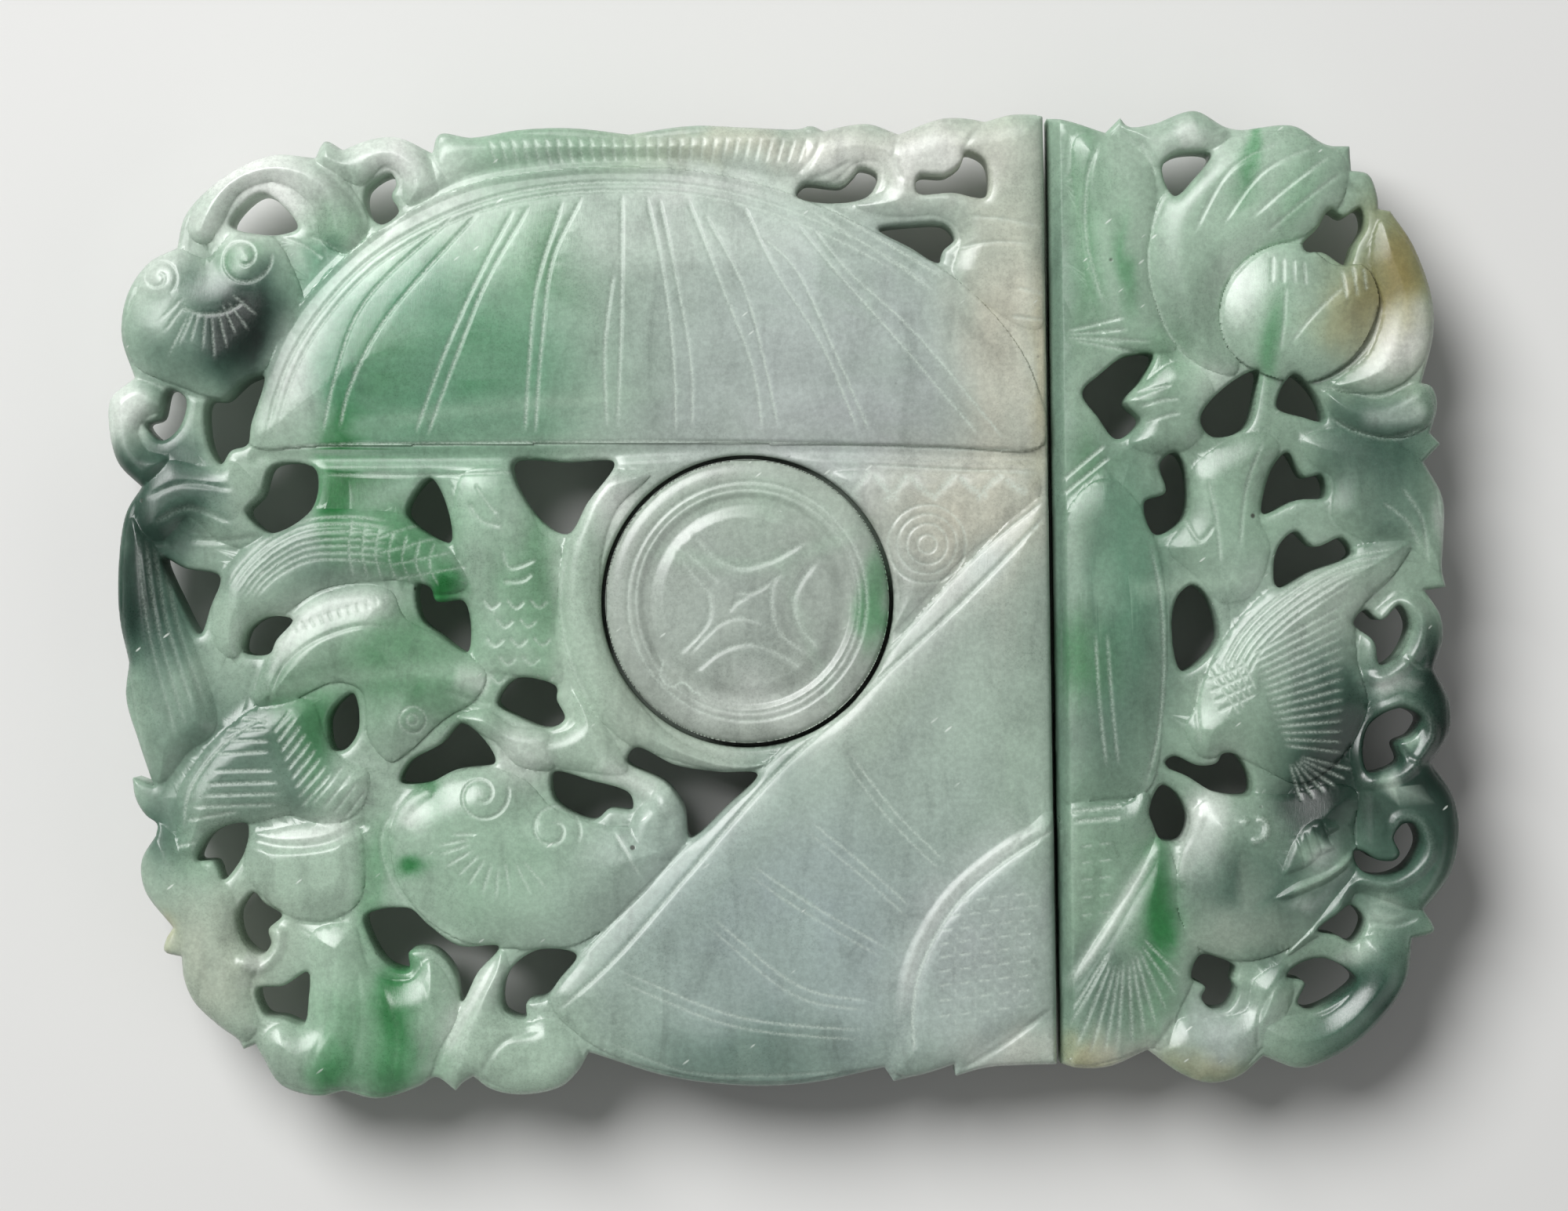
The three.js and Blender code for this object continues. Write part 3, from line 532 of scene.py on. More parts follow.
def upper_left():
    """The bat in the corner, the crescent over it, and the curls that join it to the dome."""
    motif([(242, 300), (252, 258), (296, 216), (350, 199), (402, 204), (440, 230), (470, 285), (452, 322),
        (414, 312), (398, 262), (350, 232), (306, 246), (280, 290), (262, 312)], 0.75, 26, 0.1)
    motif([(400, 205), (414, 182), (437, 193), (470, 182), (508, 180), (545, 200), (560, 240), (520, 262),
        (512, 226), (490, 212), (462, 236), (440, 230)], 0.5, 22, 0.1)
    groove([(396, 206), (430, 232), (456, 262), (466, 290)], 9, 0.26, 0.1)
    groove([(392, 300), (420, 312), (440, 326)], 6, 0.18, 0.4)
    groove([(350, 300), (386, 312), (412, 330)], 6, 0.16, 0.4)
    groove([(228, 388), (246, 398), (268, 402), (292, 398), (316, 384)], 6, 0.14, 0.5)
    bat([(172, 380), (192, 338), (225, 318), (264, 330), (300, 296), (345, 300), (372, 340), (388, 400),
        (350, 455), (322, 488), (286, 508), (228, 492), (172, 465), (158, 420)], (268, 350), [(203, 412),
        (209, 427), (215, 458), (228, 446), (244, 440), (260, 450), (276, 462), (292, 446), (304, 430),
        (330, 404), (320, 424)], [((203, 354), 26, 2.2, -1), ((312, 330), 37, 3.4, 1)], [(166, 478),
        (220, 498), (284, 512), (326, 486)])
    motif([(140, 545), (142, 505), (176, 486), (206, 500), (212, 522), (190, 530), (176, 548), (186, 574),
        (214, 584), (206, 606), (180, 620), (150, 592)], 0.55, 20, 0.05)
    motif([(180, 622), (214, 588), (262, 596), (300, 590), (350, 680), (320, 700), (280, 690), (240, 660),
        (206, 690), (176, 680)], 0.5, 30, 0.05)
    grooves([[(186, 636), (230, 618), (300, 624)], [(196, 668), (240, 648), (300, 668)], [(240, 688),
        (290, 690), (330, 684)]], 9, 0.2, 0.15)


def left_side():
    """The long leaf, the three wings of the butterfly and its body, from the top down."""
    motif([(168, 660), (200, 700), (224, 770), (262, 860), (276, 930), (240, 960), (204, 1000), (182, 950),
        (165, 860), (156, 760)], 0.7, 32, 0.05)
    spread([(176, 680), (190, 800), (226, 940)], [(206, 700), (228, 800), (262, 900)], 4, 7, 0.16, 0.25)
    motif([(276, 744), (299, 711), (330, 680), (368, 660), (410, 650), (463, 651), (517, 658), (560, 690),
        (600, 745), (560, 758), (520, 742), (470, 742), (410, 752), (360, 784), (320, 800), (300, 840),
        (280, 830), (270, 790)], 0.7, 36, 0.1)
    for inset in range(8, 68, 9):
        groove([(280 + inset * 0.7, 752 + inset * 0.3), (308 + inset * 0.6, 712 + inset * 0.5),
                (370 + inset * 0.35, 664 + inset * 0.85), (440, 652 + inset), (500, 658 + inset)],
               4, 0.09, 0.6)
    spread([(450, 660), (446, 700), (452, 738)], [(556, 690), (548, 718), (560, 748)], 7, 4, 0.08, 0.6)
    spread([(470, 690), (540, 668)], [(500, 740), (600, 722)], 4, 4, 0.07, 0.55)
    motif([(326, 898), (345, 835), (368, 793), (406, 762), (452, 748), (498, 754), (516, 788), (560, 812),
        (600, 838), (620, 862), (606, 892), (566, 918), (520, 960), (498, 972), (470, 940), (462, 882),
        (430, 870), (392, 884), (360, 902)], 0.95, 60, 0.15)
    ridge([(332, 890), (352, 832), (382, 790), (425, 766), (480, 764), (508, 790)], 18, 0.16, 0.2)
    groove([(340, 905), (362, 852), (392, 824), (430, 806), (467, 798), (509, 804)], 7, 0.2, 0.2)
    spread([(360, 800), (368, 812)], [(492, 757), (494, 770)], 12, 4, 0.1, 0.6)
    grooves([[(573, 850), (604, 866), (636, 892)], [(566, 880), (600, 892), (630, 900)]], 9, 0.14, 0.1)
    motif([(226, 1060), (226, 1016), (250, 972), (288, 930), (342, 896), (398, 896), (414, 940), (440, 972),
        (470, 985), (462, 1030), (420, 1052), (372, 1040), (330, 1048), (276, 1064), (250, 1100),
        (222, 1090)], 0.7, 40, 0.1)
    grooves([[(309, 917), (342, 921)], [(288, 932), (344, 930)], [(282, 944), (345, 945)], [(276, 962),
        (345, 958)], [(273, 983), (351, 982)], [(265, 1000), (357, 997)], [(261, 1014), (361, 1012)],
        [(245, 1029), (357, 1026)], [(236, 1047), (306, 1035)], [(227, 1080), (251, 1074)]], 5, 0.14, 0.75)
    groove([(236, 1060), (240, 1018), (262, 978), (298, 940), (344, 910)], 5, 0.15, 0.6)
    spread([(350, 935), (372, 905)], [(385, 1030), (424, 985)], 9, 4.5, 0.13, 0.75)
    spread([(398, 1028), (440, 975)], [(440, 1044), (466, 1010)], 4, 4.5, 0.13, 0.6)
    bowl((527, 918), 24, 0.16)
    eye((527, 918), 17, 7)


def eye(centre_px, outer, inner):
    """A round eye: two engraved rings."""
    for radius in (outer, inner):
        turn = np.linspace(0, 2 * math.pi, 17)[:-1]
        ring = np.column_stack([centre_px[0] + radius * np.cos(turn), centre_px[1] + radius * np.sin(turn)])
        groove(np.vstack([ring, ring[:1]]), 4, 0.12, 0.6, taper=0)


def middle_left():
    """The band round the disc, the seed pod beside it and the leaf between the piercings."""
    motif([(762, 604), (800, 600), (830, 604), (786, 650), (766, 720), (770, 800), (796, 868), (846, 930),
        (900, 962), (960, 975), (1000, 966), (940, 985), (850, 966), (800, 948), (752, 900), (722, 830),
        (712, 760), (722, 690)], 0.5, 24, 0.1)
    groove([(726, 700), (716, 765), (728, 840), (758, 905)], 7, 0.2, 0.3)
    motif([(590, 606), (648, 598), (690, 680), (714, 700), (706, 800), (716, 870), (660, 862), (612, 850),
        (600, 780), (580, 700)], 0.4, 40, 0.05)
    grooves([[(606, 618), (620, 640), (634, 656)], [(598, 640), (614, 664), (640, 672)], [(640, 700),
        (650, 724), (684, 714)], [(640, 742), (668, 740), (680, 730)]], 6, 0.15, 0.5)
    for row in range(5):
        for column in range(3 - row % 2):
            x, y = 628 + 30 * column + 14 * (row % 2) + row * 2, 768 + 24 * row
            groove([(x - 12, y - 4), (x, y + 8), (x + 12, y - 2)], 4.5, 0.12, 0.7)
    motif([(640, 930), (700, 938), (734, 924), (730, 880), (780, 940), (800, 985), (742, 984), (700, 976),
        (660, 960)], 0.45, 22, 0.05)
    motif([(584, 916), (620, 905), (652, 926), (700, 936), (706, 980), (660, 976), (634, 948), (600, 930)],
        0.5, 20, 0.1)
    motif([(860, 985), (880, 1040), (872, 1080), (840, 1110), (800, 1088), (806, 1046), (826, 1020)], 0.5,
        22, 0.05)


def lower_left():
    """The second bat, the berry, and the leaves and curls along the foot."""
    bat([(500, 1060), (520, 1018), (566, 990), (620, 980), (670, 996), (704, 1030), (760, 1052),
        (816, 1058), (860, 1080), (840, 1120), (790, 1170), (730, 1206), (660, 1210), (590, 1200),
        (540, 1168), (506, 1120)], (640, 1062), [(560, 1090), (567, 1106), (583, 1118), (597, 1130),
        (615, 1142), (633, 1148), (651, 1140), (679, 1142), (700, 1136), (557, 1078), (575, 1064)],
        [((615, 1014), 36, 3.6, 1), ((706, 1058), 36, 2.6, -1)], [(504, 1030), (486, 1070), (498, 1122),
        (528, 1166)])
    ridge([(496, 1066), (516, 1030), (552, 1002)], 16, 0.15, 0.3)
    groove([(782, 1062), (800, 1090), (818, 1118)], 5, 0.12, 0.5)
    ridge([(757, 976), (800, 996), (836, 1016), (856, 1044)], 18, 0.2, 0.15)
    motif([(318, 1068), (352, 1058), (400, 1050), (455, 1056), (466, 1100), (458, 1150), (420, 1174),
        (372, 1170), (334, 1142), (314, 1110)], 0.7, 44, 0.1)
    hollow([(310, 1070), (360, 1080), (420, 1074), (462, 1052)], 12, 0.2)
    motif([(184, 1040), (226, 1070), (262, 1110), (296, 1140), (304, 1200), (330, 1226), (318, 1262),
        (330, 1310), (308, 1330), (262, 1290), (236, 1240), (224, 1186), (190, 1140), (184, 1090)], 0.6, 34,
        0.05)
    ridge([(306, 1216), (326, 1236), (352, 1214), (356, 1180)], 14, 0.25, 0.25)
    motif([(398, 1190), (450, 1180), (468, 1230), (492, 1250), (524, 1250), (548, 1224), (572, 1250),
        (584, 1290), (560, 1340), (545, 1376), (490, 1396), (440, 1388), (400, 1392), (356, 1376),
        (334, 1330), (352, 1308), (392, 1310), (400, 1250)], 0.65, 40, 0.08)
    grooves([[(420, 1200), (420, 1290), (392, 1370)], [(452, 1220), (462, 1300), (446, 1380)], [(486, 1256),
        (506, 1310), (500, 1384)], [(540, 1250), (548, 1300), (536, 1360)]], 10, 0.1, 0.05)
    motif([(588, 1286), (612, 1244), (640, 1212), (650, 1240), (640, 1290), (668, 1306), (700, 1300),
        (742, 1346), (716, 1384), (664, 1394), (606, 1376), (584, 1386), (566, 1370)], 0.55, 30, 0.05)
    grooves([[(640, 1216), (606, 1280), (570, 1350)], [(612, 1372), (640, 1330), (690, 1312)]], 10, 0.22,
        0.1)
    ridge([(470, 1176), (520, 1164), (560, 1190), (600, 1208)], 14, 0.2, 0.15)


def fan_and_basket():
    """The folded fan on the slant, with its edge lines and creases, and the woven basket."""
    motif(FAN_PX, 0.5, 70, 0.12)
    groove([(1335, 657), (1223, 772), (1121, 866), (983, 994), (876, 1117), (782, 1225), (711, 1291)], 6,
        0.18, 0.8, taper=0.02)
    groove([(1335, 636), (1239, 715), (1128, 836), (970, 985), (888, 1067), (739, 1223), (700, 1270)], 5,
        0.14, 0.5, taper=0.02)
    creases = [[(785, 1235), (936, 1295), (1050, 1310), (1107, 1313)], [(906, 1168), (1023, 1259),
        (1113, 1277)], [(956, 1101), (1029, 1150), (1132, 1210)], [(1032, 1046), (1098, 1100),
        (1164, 1159)], [(1080, 956), (1140, 1034), (1210, 1104)]]
    for crease in creases:
        groove(crease, 4, 0.07, 0.7)
        groove([(x - 5, y + 12) for x, y in crease], 4, 0.06, 0.6)
    groove([(760, 1322), (876, 1367), (980, 1372), (1088, 1365)], 5, 0.1, 0.3)
    motif(BASKET_PX, 0.6, 44, 0.35)
    groove([(1166, 1340), (1164, 1290), (1176, 1228), (1220, 1152), (1278, 1100), (1344, 1058)], 6, 0.18,
        0.75, taper=0.03)
    ridge([(1150, 1330), (1150, 1290), (1162, 1226), (1208, 1146), (1268, 1092), (1342, 1045)], 12, 0.14,
        0.15)
    for y in (1152, 1169, 1186, 1203, 1220, 1238, 1256, 1275, 1295):
        for x in np.arange(1196 + max(0, 1190 - y) * 0.55, 1312, 25):
            groove([(x, y - (x - 1200) * 0.12), (x + 19, y - (x - 1180) * 0.12)], 3.4, 0.05, 0.8,
                   taper=0.25)
            groove([(x + 21, y - (x - 1190) * 0.12 + 3), (x + 23, y - (x - 1190) * 0.12 + 14)], 3.2,
                   0.03, 0.45, taper=0.25)
    groove([(1220, 1368), (1277, 1334), (1344, 1284)], 9, 0.25, 0.3)


def right_of_disc():
    """The small figures between the dome's foot and the fan, and the lines at the seam."""
    motif([(1060, 606), (1200, 604), (1322, 606), (1326, 632), (1232, 708), (1130, 812), (1148, 760),
        (1130, 690), (1092, 640)], 0.25, 22, 0.05)
    grooves([[(1052, 600), (1078, 622), (1098, 640)], [(1072, 640), (1092, 622), (1112, 600)], [(1112, 602),
        (1128, 622), (1146, 640)], [(1126, 640), (1146, 622), (1160, 602)], [(1160, 604), (1178, 626),
        (1200, 636)], [(1188, 640), (1204, 620), (1222, 604)], [(1222, 606), (1240, 624), (1262, 634)],
        [(1244, 640), (1262, 618), (1282, 604)], [(1280, 610), (1296, 622), (1312, 630)]], 10, 0.1, 0.8)
    eye((1182, 694), 26, 12)
    eye((1182, 694), 50, 38)
    grooves([[(1220, 318), (1256, 310), (1289, 309), (1313, 312)], [(1295, 367), (1332, 376)], [(1289, 403),
        (1332, 409)], [(1236, 276), (1280, 280), (1326, 290)]], 6, 0.16, 0.5)


def upper_right():
    """The curls along the top, right of the frill."""
    motif([(1024, 176), (1050, 168), (1090, 164), (1142, 176), (1196, 160), (1256, 158), (1322, 152),
        (1330, 300), (1326, 420), (1262, 392), (1216, 352), (1226, 300), (1200, 276), (1140, 276),
        (1090, 262), (1130, 240), (1122, 206), (1090, 208), (1060, 232), (1020, 236)], 0.45, 30, 0.05)
    grooves([[(1048, 170), (1040, 196), (1020, 222)], [(1146, 174), (1140, 200), (1152, 232)], [(1256, 158),
        (1238, 176), (1224, 200)], [(1030, 230), (1056, 222), (1088, 204)]], 8, 0.2, 0.25)


def carve_receiver():
    great_dome()
    frill()
    upper_right()
    upper_left()
    left_side()
    middle_left()
    lower_left()
    right_of_disc()
    fan_and_basket()


# The boss's radii, from the middle out: the inner disc's edge, the moat's far edge, the two thin
# rings (radius, half width, depth) and where its rim starts to slope
DISC_EDGE, MOAT_EDGE = (5.5, 6.5), (6.8, 7.35)
THIN_RINGS = ((7.95, 0.13, 0.07), (7.45, 0.12, 0.05))
SLOPE_START, SLOPE_WIDTH, SLOPE_DROP = 7.9, 1.4, 0.16
MOAT_LEVEL, DISC_RISE, RIM_RISE = BOSS_RISE - 0.18, 0.24, 0.2


def carve_boss():
    """The coin boss: a sloping rim, two thin rings, a moat, a flat inner disc and a star of curves.

    The height falls from the inner disc to the moat and rises again to the rim, by smooth
    steps of the radius. The white crack is a thin wandering line at the lower left.
    """
    x, y = (ACROSS - BOSS_CENTRE_PX[0]) * PIXEL, (BOSS_CENTRE_PX[1] - DOWN) * PIXEL
    radius = np.hypot(x, y)
    on_boss = radius < BOSS_RADIUS + CLEARANCE / 2
    disc, outer = rising(radius, DISC_EDGE[1], DISC_EDGE[0]), rising(radius, *MOAT_EDGE)
    rings = sum(depth * np.exp(-((radius - at) / half) ** 2) for at, half, depth in THIN_RINGS)
    slope = SLOPE_DROP * np.clip((radius - SLOPE_START) / SLOPE_WIDTH, 0, 1) ** 2
    relief[:] = np.where(on_boss, MOAT_LEVEL + DISC_RISE * disc + RIM_RISE * outer - slope - rings, relief)
    cut[:] = np.where(on_boss, 0, cut)
    frost[:] = np.where(on_boss, rings * 8, frost)
    grooves([[(881, 676), (908, 709), (942, 724), (984, 715), (1028, 690)], [(860, 701), (882, 732),
        (904, 759), (904, 789), (889, 812), (862, 837)], [(1042, 714), (1021, 743), (1012, 766),
        (1019, 797), (1046, 829)], [(879, 863), (919, 831), (954, 821), (988, 831), (1028, 856)]], 9, 0.17,
        0.5, taper=0.1)
    grooves([[(878, 836), (900, 812), (923, 793), (946, 788), (972, 796)], [(1000, 728), (986, 744),
        (984, 774), (992, 804), (1028, 834)], [(868, 696), (893, 720), (918, 745)], [(936, 753), (952, 758),
        (976, 748), (996, 732)], [(928, 782), (940, 768), (956, 760)]], 7, 0.12, 0.55)
    groove([(838, 834), (846, 846), (842, 862), (856, 876), (872, 870), (884, 882), (898, 888)], 4, 0.05,
        1.0, taper=0.05)


# What is carved on the tongue half
def petals():
    """The lotus at the top: long petals, the bud among them and the small leaves to its right."""
    motif([(1372, 176), (1410, 172), (1440, 184), (1468, 210), (1474, 262), (1462, 330), (1478, 400),
        (1500, 446), (1470, 450), (1420, 436), (1392, 380), (1378, 300)], 0.5, 36, 0.05)
    groove([(1402, 181), (1389, 216), (1384, 268), (1387, 312), (1398, 357), (1410, 391)], 7, 0.2, 0.5)
    groove([(1453, 178), (1466, 200), (1473, 226)], 7, 0.18, 0.4)
    motif([(1430, 160), (1480, 162), (1524, 146), (1566, 164), (1560, 186), (1510, 200), (1476, 214),
        (1448, 180)], 0.4, 22, 0.05)
    motif([(1574, 478), (1524, 462), (1488, 420), (1468, 352), (1474, 270), (1506, 222), (1552, 186),
        (1620, 168), (1690, 182), (1716, 206), (1712, 256), (1664, 300), (1610, 318), (1566, 360),
        (1556, 410), (1580, 464)], 0.8, 46, 0.1)
    grooves([[(1559, 186), (1507, 222), (1480, 266), (1466, 314), (1466, 350), (1477, 394), (1498, 436),
        (1530, 466), (1574, 480)], [(1700, 196), (1640, 240), (1592, 282)], [(1712, 220), (1664, 256),
        (1612, 300)], [(1680, 186), (1610, 220), (1556, 290)], [(1640, 178), (1570, 216), (1520, 300)]], 6,
        0.15, 0.45)
    motif([(1662, 312), (1614, 318), (1574, 348), (1556, 400), (1568, 446), (1604, 474), (1664, 488),
        (1716, 464), (1748, 420), (1758, 378), (1740, 340), (1700, 338)], 0.75, 70, 0.45)
    groove([(1662, 308), (1620, 314), (1584, 340), (1561, 374), (1557, 408), (1568, 446), (1598, 473)], 6,
        0.2, 0.55)
    groove([(1759, 386), (1748, 434), (1714, 468), (1670, 490)], 7, 0.2, 0.4)
    spread([(1622, 328), (1620, 362)], [(1662, 334), (1664, 366)], 4, 5, 0.12, 0.7)
    grooves([[(1638, 366), (1636, 410), (1632, 451)], [(1713, 366), (1676, 400), (1644, 439)], [(1710, 344),
        (1716, 384)], [(1724, 340), (1730, 380)], [(1738, 342), (1742, 372)]], 5, 0.12, 0.6)
    motif([(1762, 280), (1792, 304), (1820, 366), (1826, 424), (1806, 474), (1762, 500), (1700, 494),
        (1746, 452), (1764, 390), (1748, 330)], 0.55, 34, 0.1)
    grooves([[(1681, 490), (1720, 500), (1759, 505), (1810, 482)], [(1692, 532), (1736, 553), (1773, 559),
        (1818, 545)]], 8, 0.24, 0.3)
    motif([(1690, 500), (1760, 510), (1816, 490), (1830, 530), (1800, 556), (1730, 550), (1700, 530)], 0.55,
        22, 0.1)
    rays((1340, 428), [(1435, 404), (1440, 420), (1435, 436), (1471, 436), (1460, 452)], 0.2, 5, 0.14, 0.5)


def small_leaves():
    """The leaves between the lotus and the fish, and the tip of the fan beyond the seam."""
    motif([(1420, 512), (1460, 488), (1500, 462), (1540, 480), (1550, 520), (1520, 570), (1478, 580),
        (1440, 566), (1456, 536)], 0.45, 26, 0.05)
    grooves([[(1447, 503), (1472, 496), (1495, 491)], [(1452, 520), (1476, 512), (1504, 508)], [(1460, 540),
        (1482, 532), (1506, 526)]], 5, 0.14, 0.5)
    motif([(1520, 600), (1560, 566), (1612, 552), (1632, 570), (1616, 610), (1606, 660), (1620, 700),
        (1596, 760), (1560, 770), (1530, 738), (1490, 700), (1516, 660)], 0.55, 40, 0.05)
    motif([(1660, 560), (1700, 548), (1780, 566), (1822, 600), (1836, 660), (1838, 730), (1800, 700),
        (1740, 690), (1700, 660), (1700, 610), (1672, 590)], 0.45, 34, 0.05)
    grooves([[(1510, 660), (1530, 690), (1550, 668)], [(1612, 560), (1590, 620), (1580, 700)], [(1540, 610),
        (1550, 660), (1556, 720)], [(1786, 620), (1812, 660), (1822, 720)], [(1762, 640), (1796, 668),
        (1812, 700)]], 6, 0.15, 0.4)
    grooves([[(1353, 615), (1382, 590), (1410, 567)], [(1353, 633), (1386, 606), (1416, 582)]], 5, 0.16,
        0.7)
    motif([(1362, 650), (1410, 610), (1450, 640), (1480, 713), (1488, 800), (1484, 904), (1464, 1008),
        (1400, 1020), (1360, 1024), (1358, 840)], 0.4, 46, 0.08)
    groove([(1466, 690), (1480, 760), (1484, 850), (1478, 930), (1460, 1010)], 6, 0.17, 0.5)
    grooves([[(1396, 805), (1402, 900), (1411, 981)], [(1411, 805), (1418, 900), (1426, 978)]], 5, 0.12,
        0.5)


def fish():
    """The fish: a ribbed fin, a tail of rays, the round body with its eye, and the pointed fin."""
    motif([(1526, 900), (1540, 856), (1575, 797), (1614, 757), (1663, 722), (1721, 700), (1800, 690),
        (1780, 730), (1734, 780), (1730, 840), (1744, 900), (1716, 960), (1660, 1000), (1610, 980),
        (1570, 962), (1534, 966), (1512, 930)], 0.85, 60, 0.12)
    for inset in range(5):
        groove([(1548 + 8 * inset, 868 + 3 * inset), (1584 + 6 * inset, 806 + 6 * inset),
                (1630 + 5 * inset, 762 + 7 * inset), (1700 + 3 * inset, 718 + 8 * inset),
                (1786 - 14 * inset, 698 + 10 * inset)], 4.5, 0.13, 0.65)
    for share in np.linspace(0, 1, 15):
        tip = np.array((1716 - 4 * share, 770 + 190 * share))
        hub = np.array((1590 + 46 * share, 838 + 112 * share))
        groove([hub, tip], 4.5, 0.13, 0.65)
    spread([(1540, 850), (1580, 912)], [(1580, 836), (1600, 880)], 5, 4.5, 0.14, 0.8)
    spread([(1538, 870), (1592, 846)], [(1552, 908), (1602, 884)], 4, 4.5, 0.14, 0.8)
    grooves([[(1530, 858), (1526, 904), (1531, 950)]], 7, 0.16, 0.3)
    rays((1640, 960), [(1660, 1023), (1676, 1020), (1690, 1012), (1704, 1004), (1716, 994), (1725, 982)],
        0.2, 4.5, 0.13, 0.6)
    motif([(1500, 1130), (1512, 1070), (1532, 1024), (1580, 1012), (1640, 1014), (1700, 1000), (1730, 1010),
        (1726, 1066), (1736, 1110), (1704, 1150), (1660, 1200), (1590, 1226), (1530, 1210), (1506, 1170)],
        0.95, 70, 0.12)
    ridge([(1532, 1030), (1512, 1080), (1500, 1132)], 14, 0.12, 0.15)
    ridge([(1602, 1042), (1614, 1050), (1612, 1066), (1594, 1074)], 7, 0.12, 0.5)
    ridge([(1584, 1044), (1590, 1050)], 8, 0.08, 0.4)
    motif([(1634, 1116), (1655, 1062), (1680, 1044), (1708, 1056), (1692, 1068), (1702, 1082), (1682, 1092),
        (1668, 1104), (1650, 1112)], 0.22, 10, stacked=True)
    motif([(1624, 1146), (1650, 1126), (1690, 1110), (1716, 1090), (1734, 1070), (1730, 1092), (1702, 1120),
        (1665, 1138), (1640, 1147)], 0.26, 12, stacked=True)
    spread([(1652, 1066), (1664, 1104)], [(1684, 1046), (1698, 1080)], 4, 5, 0.2, 0.0)


def basket_and_wing():
    """The end of the basket beyond the seam and the wing below it."""
    motif([(1360, 1030), (1434, 1026), (1462, 1010), (1470, 1080), (1440, 1140), (1400, 1196),
        (1362, 1250)], 0.35, 26, 0.12)
    grooves([[(1362, 1036), (1432, 1029)], [(1368, 1048), (1429, 1043)]], 6, 0.18, 0.85)
    for y in (1080, 1101, 1123, 1145, 1168):
        grooves([[(1378, y), (1394, y - 2)], [(1400, y - 3), (1418, y - 5)]], 3.4, 0.05, 0.6, taper=0.25)
    motif([(1480, 1066), (1500, 1110), (1504, 1170), (1530, 1216), (1518, 1260), (1500, 1300), (1500, 1350),
        (1470, 1336), (1420, 1352), (1366, 1356), (1358, 1270), (1400, 1190), (1440, 1130)], 0.55, 40, 0.1)
    ridge([(1478, 1074), (1440, 1138), (1408, 1192), (1358, 1264)], 12, 0.16, 0.4)
    rays((1436, 1176), [(1366, 1290), (1362, 1312), (1372, 1336), (1390, 1346), (1408, 1346), (1424, 1340),
        (1444, 1334), (1460, 1322), (1474, 1308), (1488, 1290), (1500, 1270), (1506, 1246)], 0.3, 5, 0.14,
        0.6)


def right_curls():
    """The curls down the right edge and along the foot."""
    motif([(1800, 756), (1834, 790), (1836, 850), (1846, 900), (1842, 950), (1824, 972), (1852, 1020),
        (1856, 1080), (1840, 1130), (1814, 1160), (1770, 1150), (1728, 1140), (1720, 1180), (1680, 1196),
        (1640, 1220), (1700, 1140), (1726, 1100), (1730, 1010), (1722, 960), (1746, 890), (1734, 840),
        (1744, 790)], 0.5, 22, 0.05)
    for loop in ([(1724, 860), (1764, 866), (1806, 830), (1812, 786), (1786, 764), (1764, 780)],
                 [(1726, 1000), (1792, 986), (1826, 930), (1796, 896), (1752, 912)],
                 [(1722, 1122), (1780, 1126), (1822, 1090), (1810, 1048), (1782, 1046), (1786, 1086)]):
        ridge(loop, 13, 0.22, 0.1)
    motif([(1740, 1196), (1790, 1206), (1794, 1256), (1758, 1300), (1716, 1336), (1660, 1358), (1616, 1342),
        (1600, 1300), (1640, 1296), (1690, 1296), (1732, 1256)], 0.55, 34, 0.05)
    motif([(1506, 1300), (1540, 1300), (1590, 1288), (1600, 1250), (1640, 1230), (1650, 1262), (1640, 1296),
        (1606, 1340), (1576, 1370), (1540, 1376), (1504, 1362), (1478, 1340)], 0.6, 34, 0.05)
    grooves([[(1644, 1232), (1608, 1290), (1604, 1340)], [(1812, 1168), (1780, 1180), (1744, 1176)],
        [(1500, 1300), (1484, 1322), (1470, 1340)], [(1826, 972), (1800, 968), (1786, 950)], [(1830, 853),
        (1806, 850), (1790, 836)]], 9, 0.22, 0.1)


def carve_tongue_half():
    petals()
    small_leaves()
    basket_and_wing()
    fish()
    right_curls()


def linear(tone):
    """Screen colours in 0 to 255 as linear ones."""
    part = np.asarray(tone) / 255
    return np.where(part <= 0.04045, part / 12.92, ((np.maximum(part, 0) + 0.055) / 1.055) ** 2.4)


# The jade's tones as screen colours, chosen one by one and from readings at single spots of the photograph
# The near-white (232, 236, 230) is a painted highlight, not a tone of the stone: patches and strokes in it
# lighten facets, ridges and edges where the key lamp's light falls.
PALE, HIGHLIGHT_WHITE, GREYISH, LILAC = (175, 200, 179), (232, 236, 230), (160, 174, 167), (172, 180, 178)
SOFT_GREEN, GREEN, EMERALD, DEEP = (140, 176, 148), (84, 138, 96), (24, 104, 44), (4, 26, 18)
SLATE, CREAM, RUSSET, OCHRE = (58, 86, 73), (216, 215, 204), (146, 126, 70), (190, 172, 120)
BLUISH, SEA, WARM = (154, 169, 168), (84, 140, 108), (206, 204, 186)
RECEIVER_TONE, TONGUE_TONE, BOSS_TONE = (158, 180, 162), (134, 158, 139), (166, 175, 164)
FROST_TONE, NICK_TONE, PIT_TONE = (206, 220, 208), (228, 236, 228), (52, 50, 44)
FLOOR_TONE = (226, 226, 224)
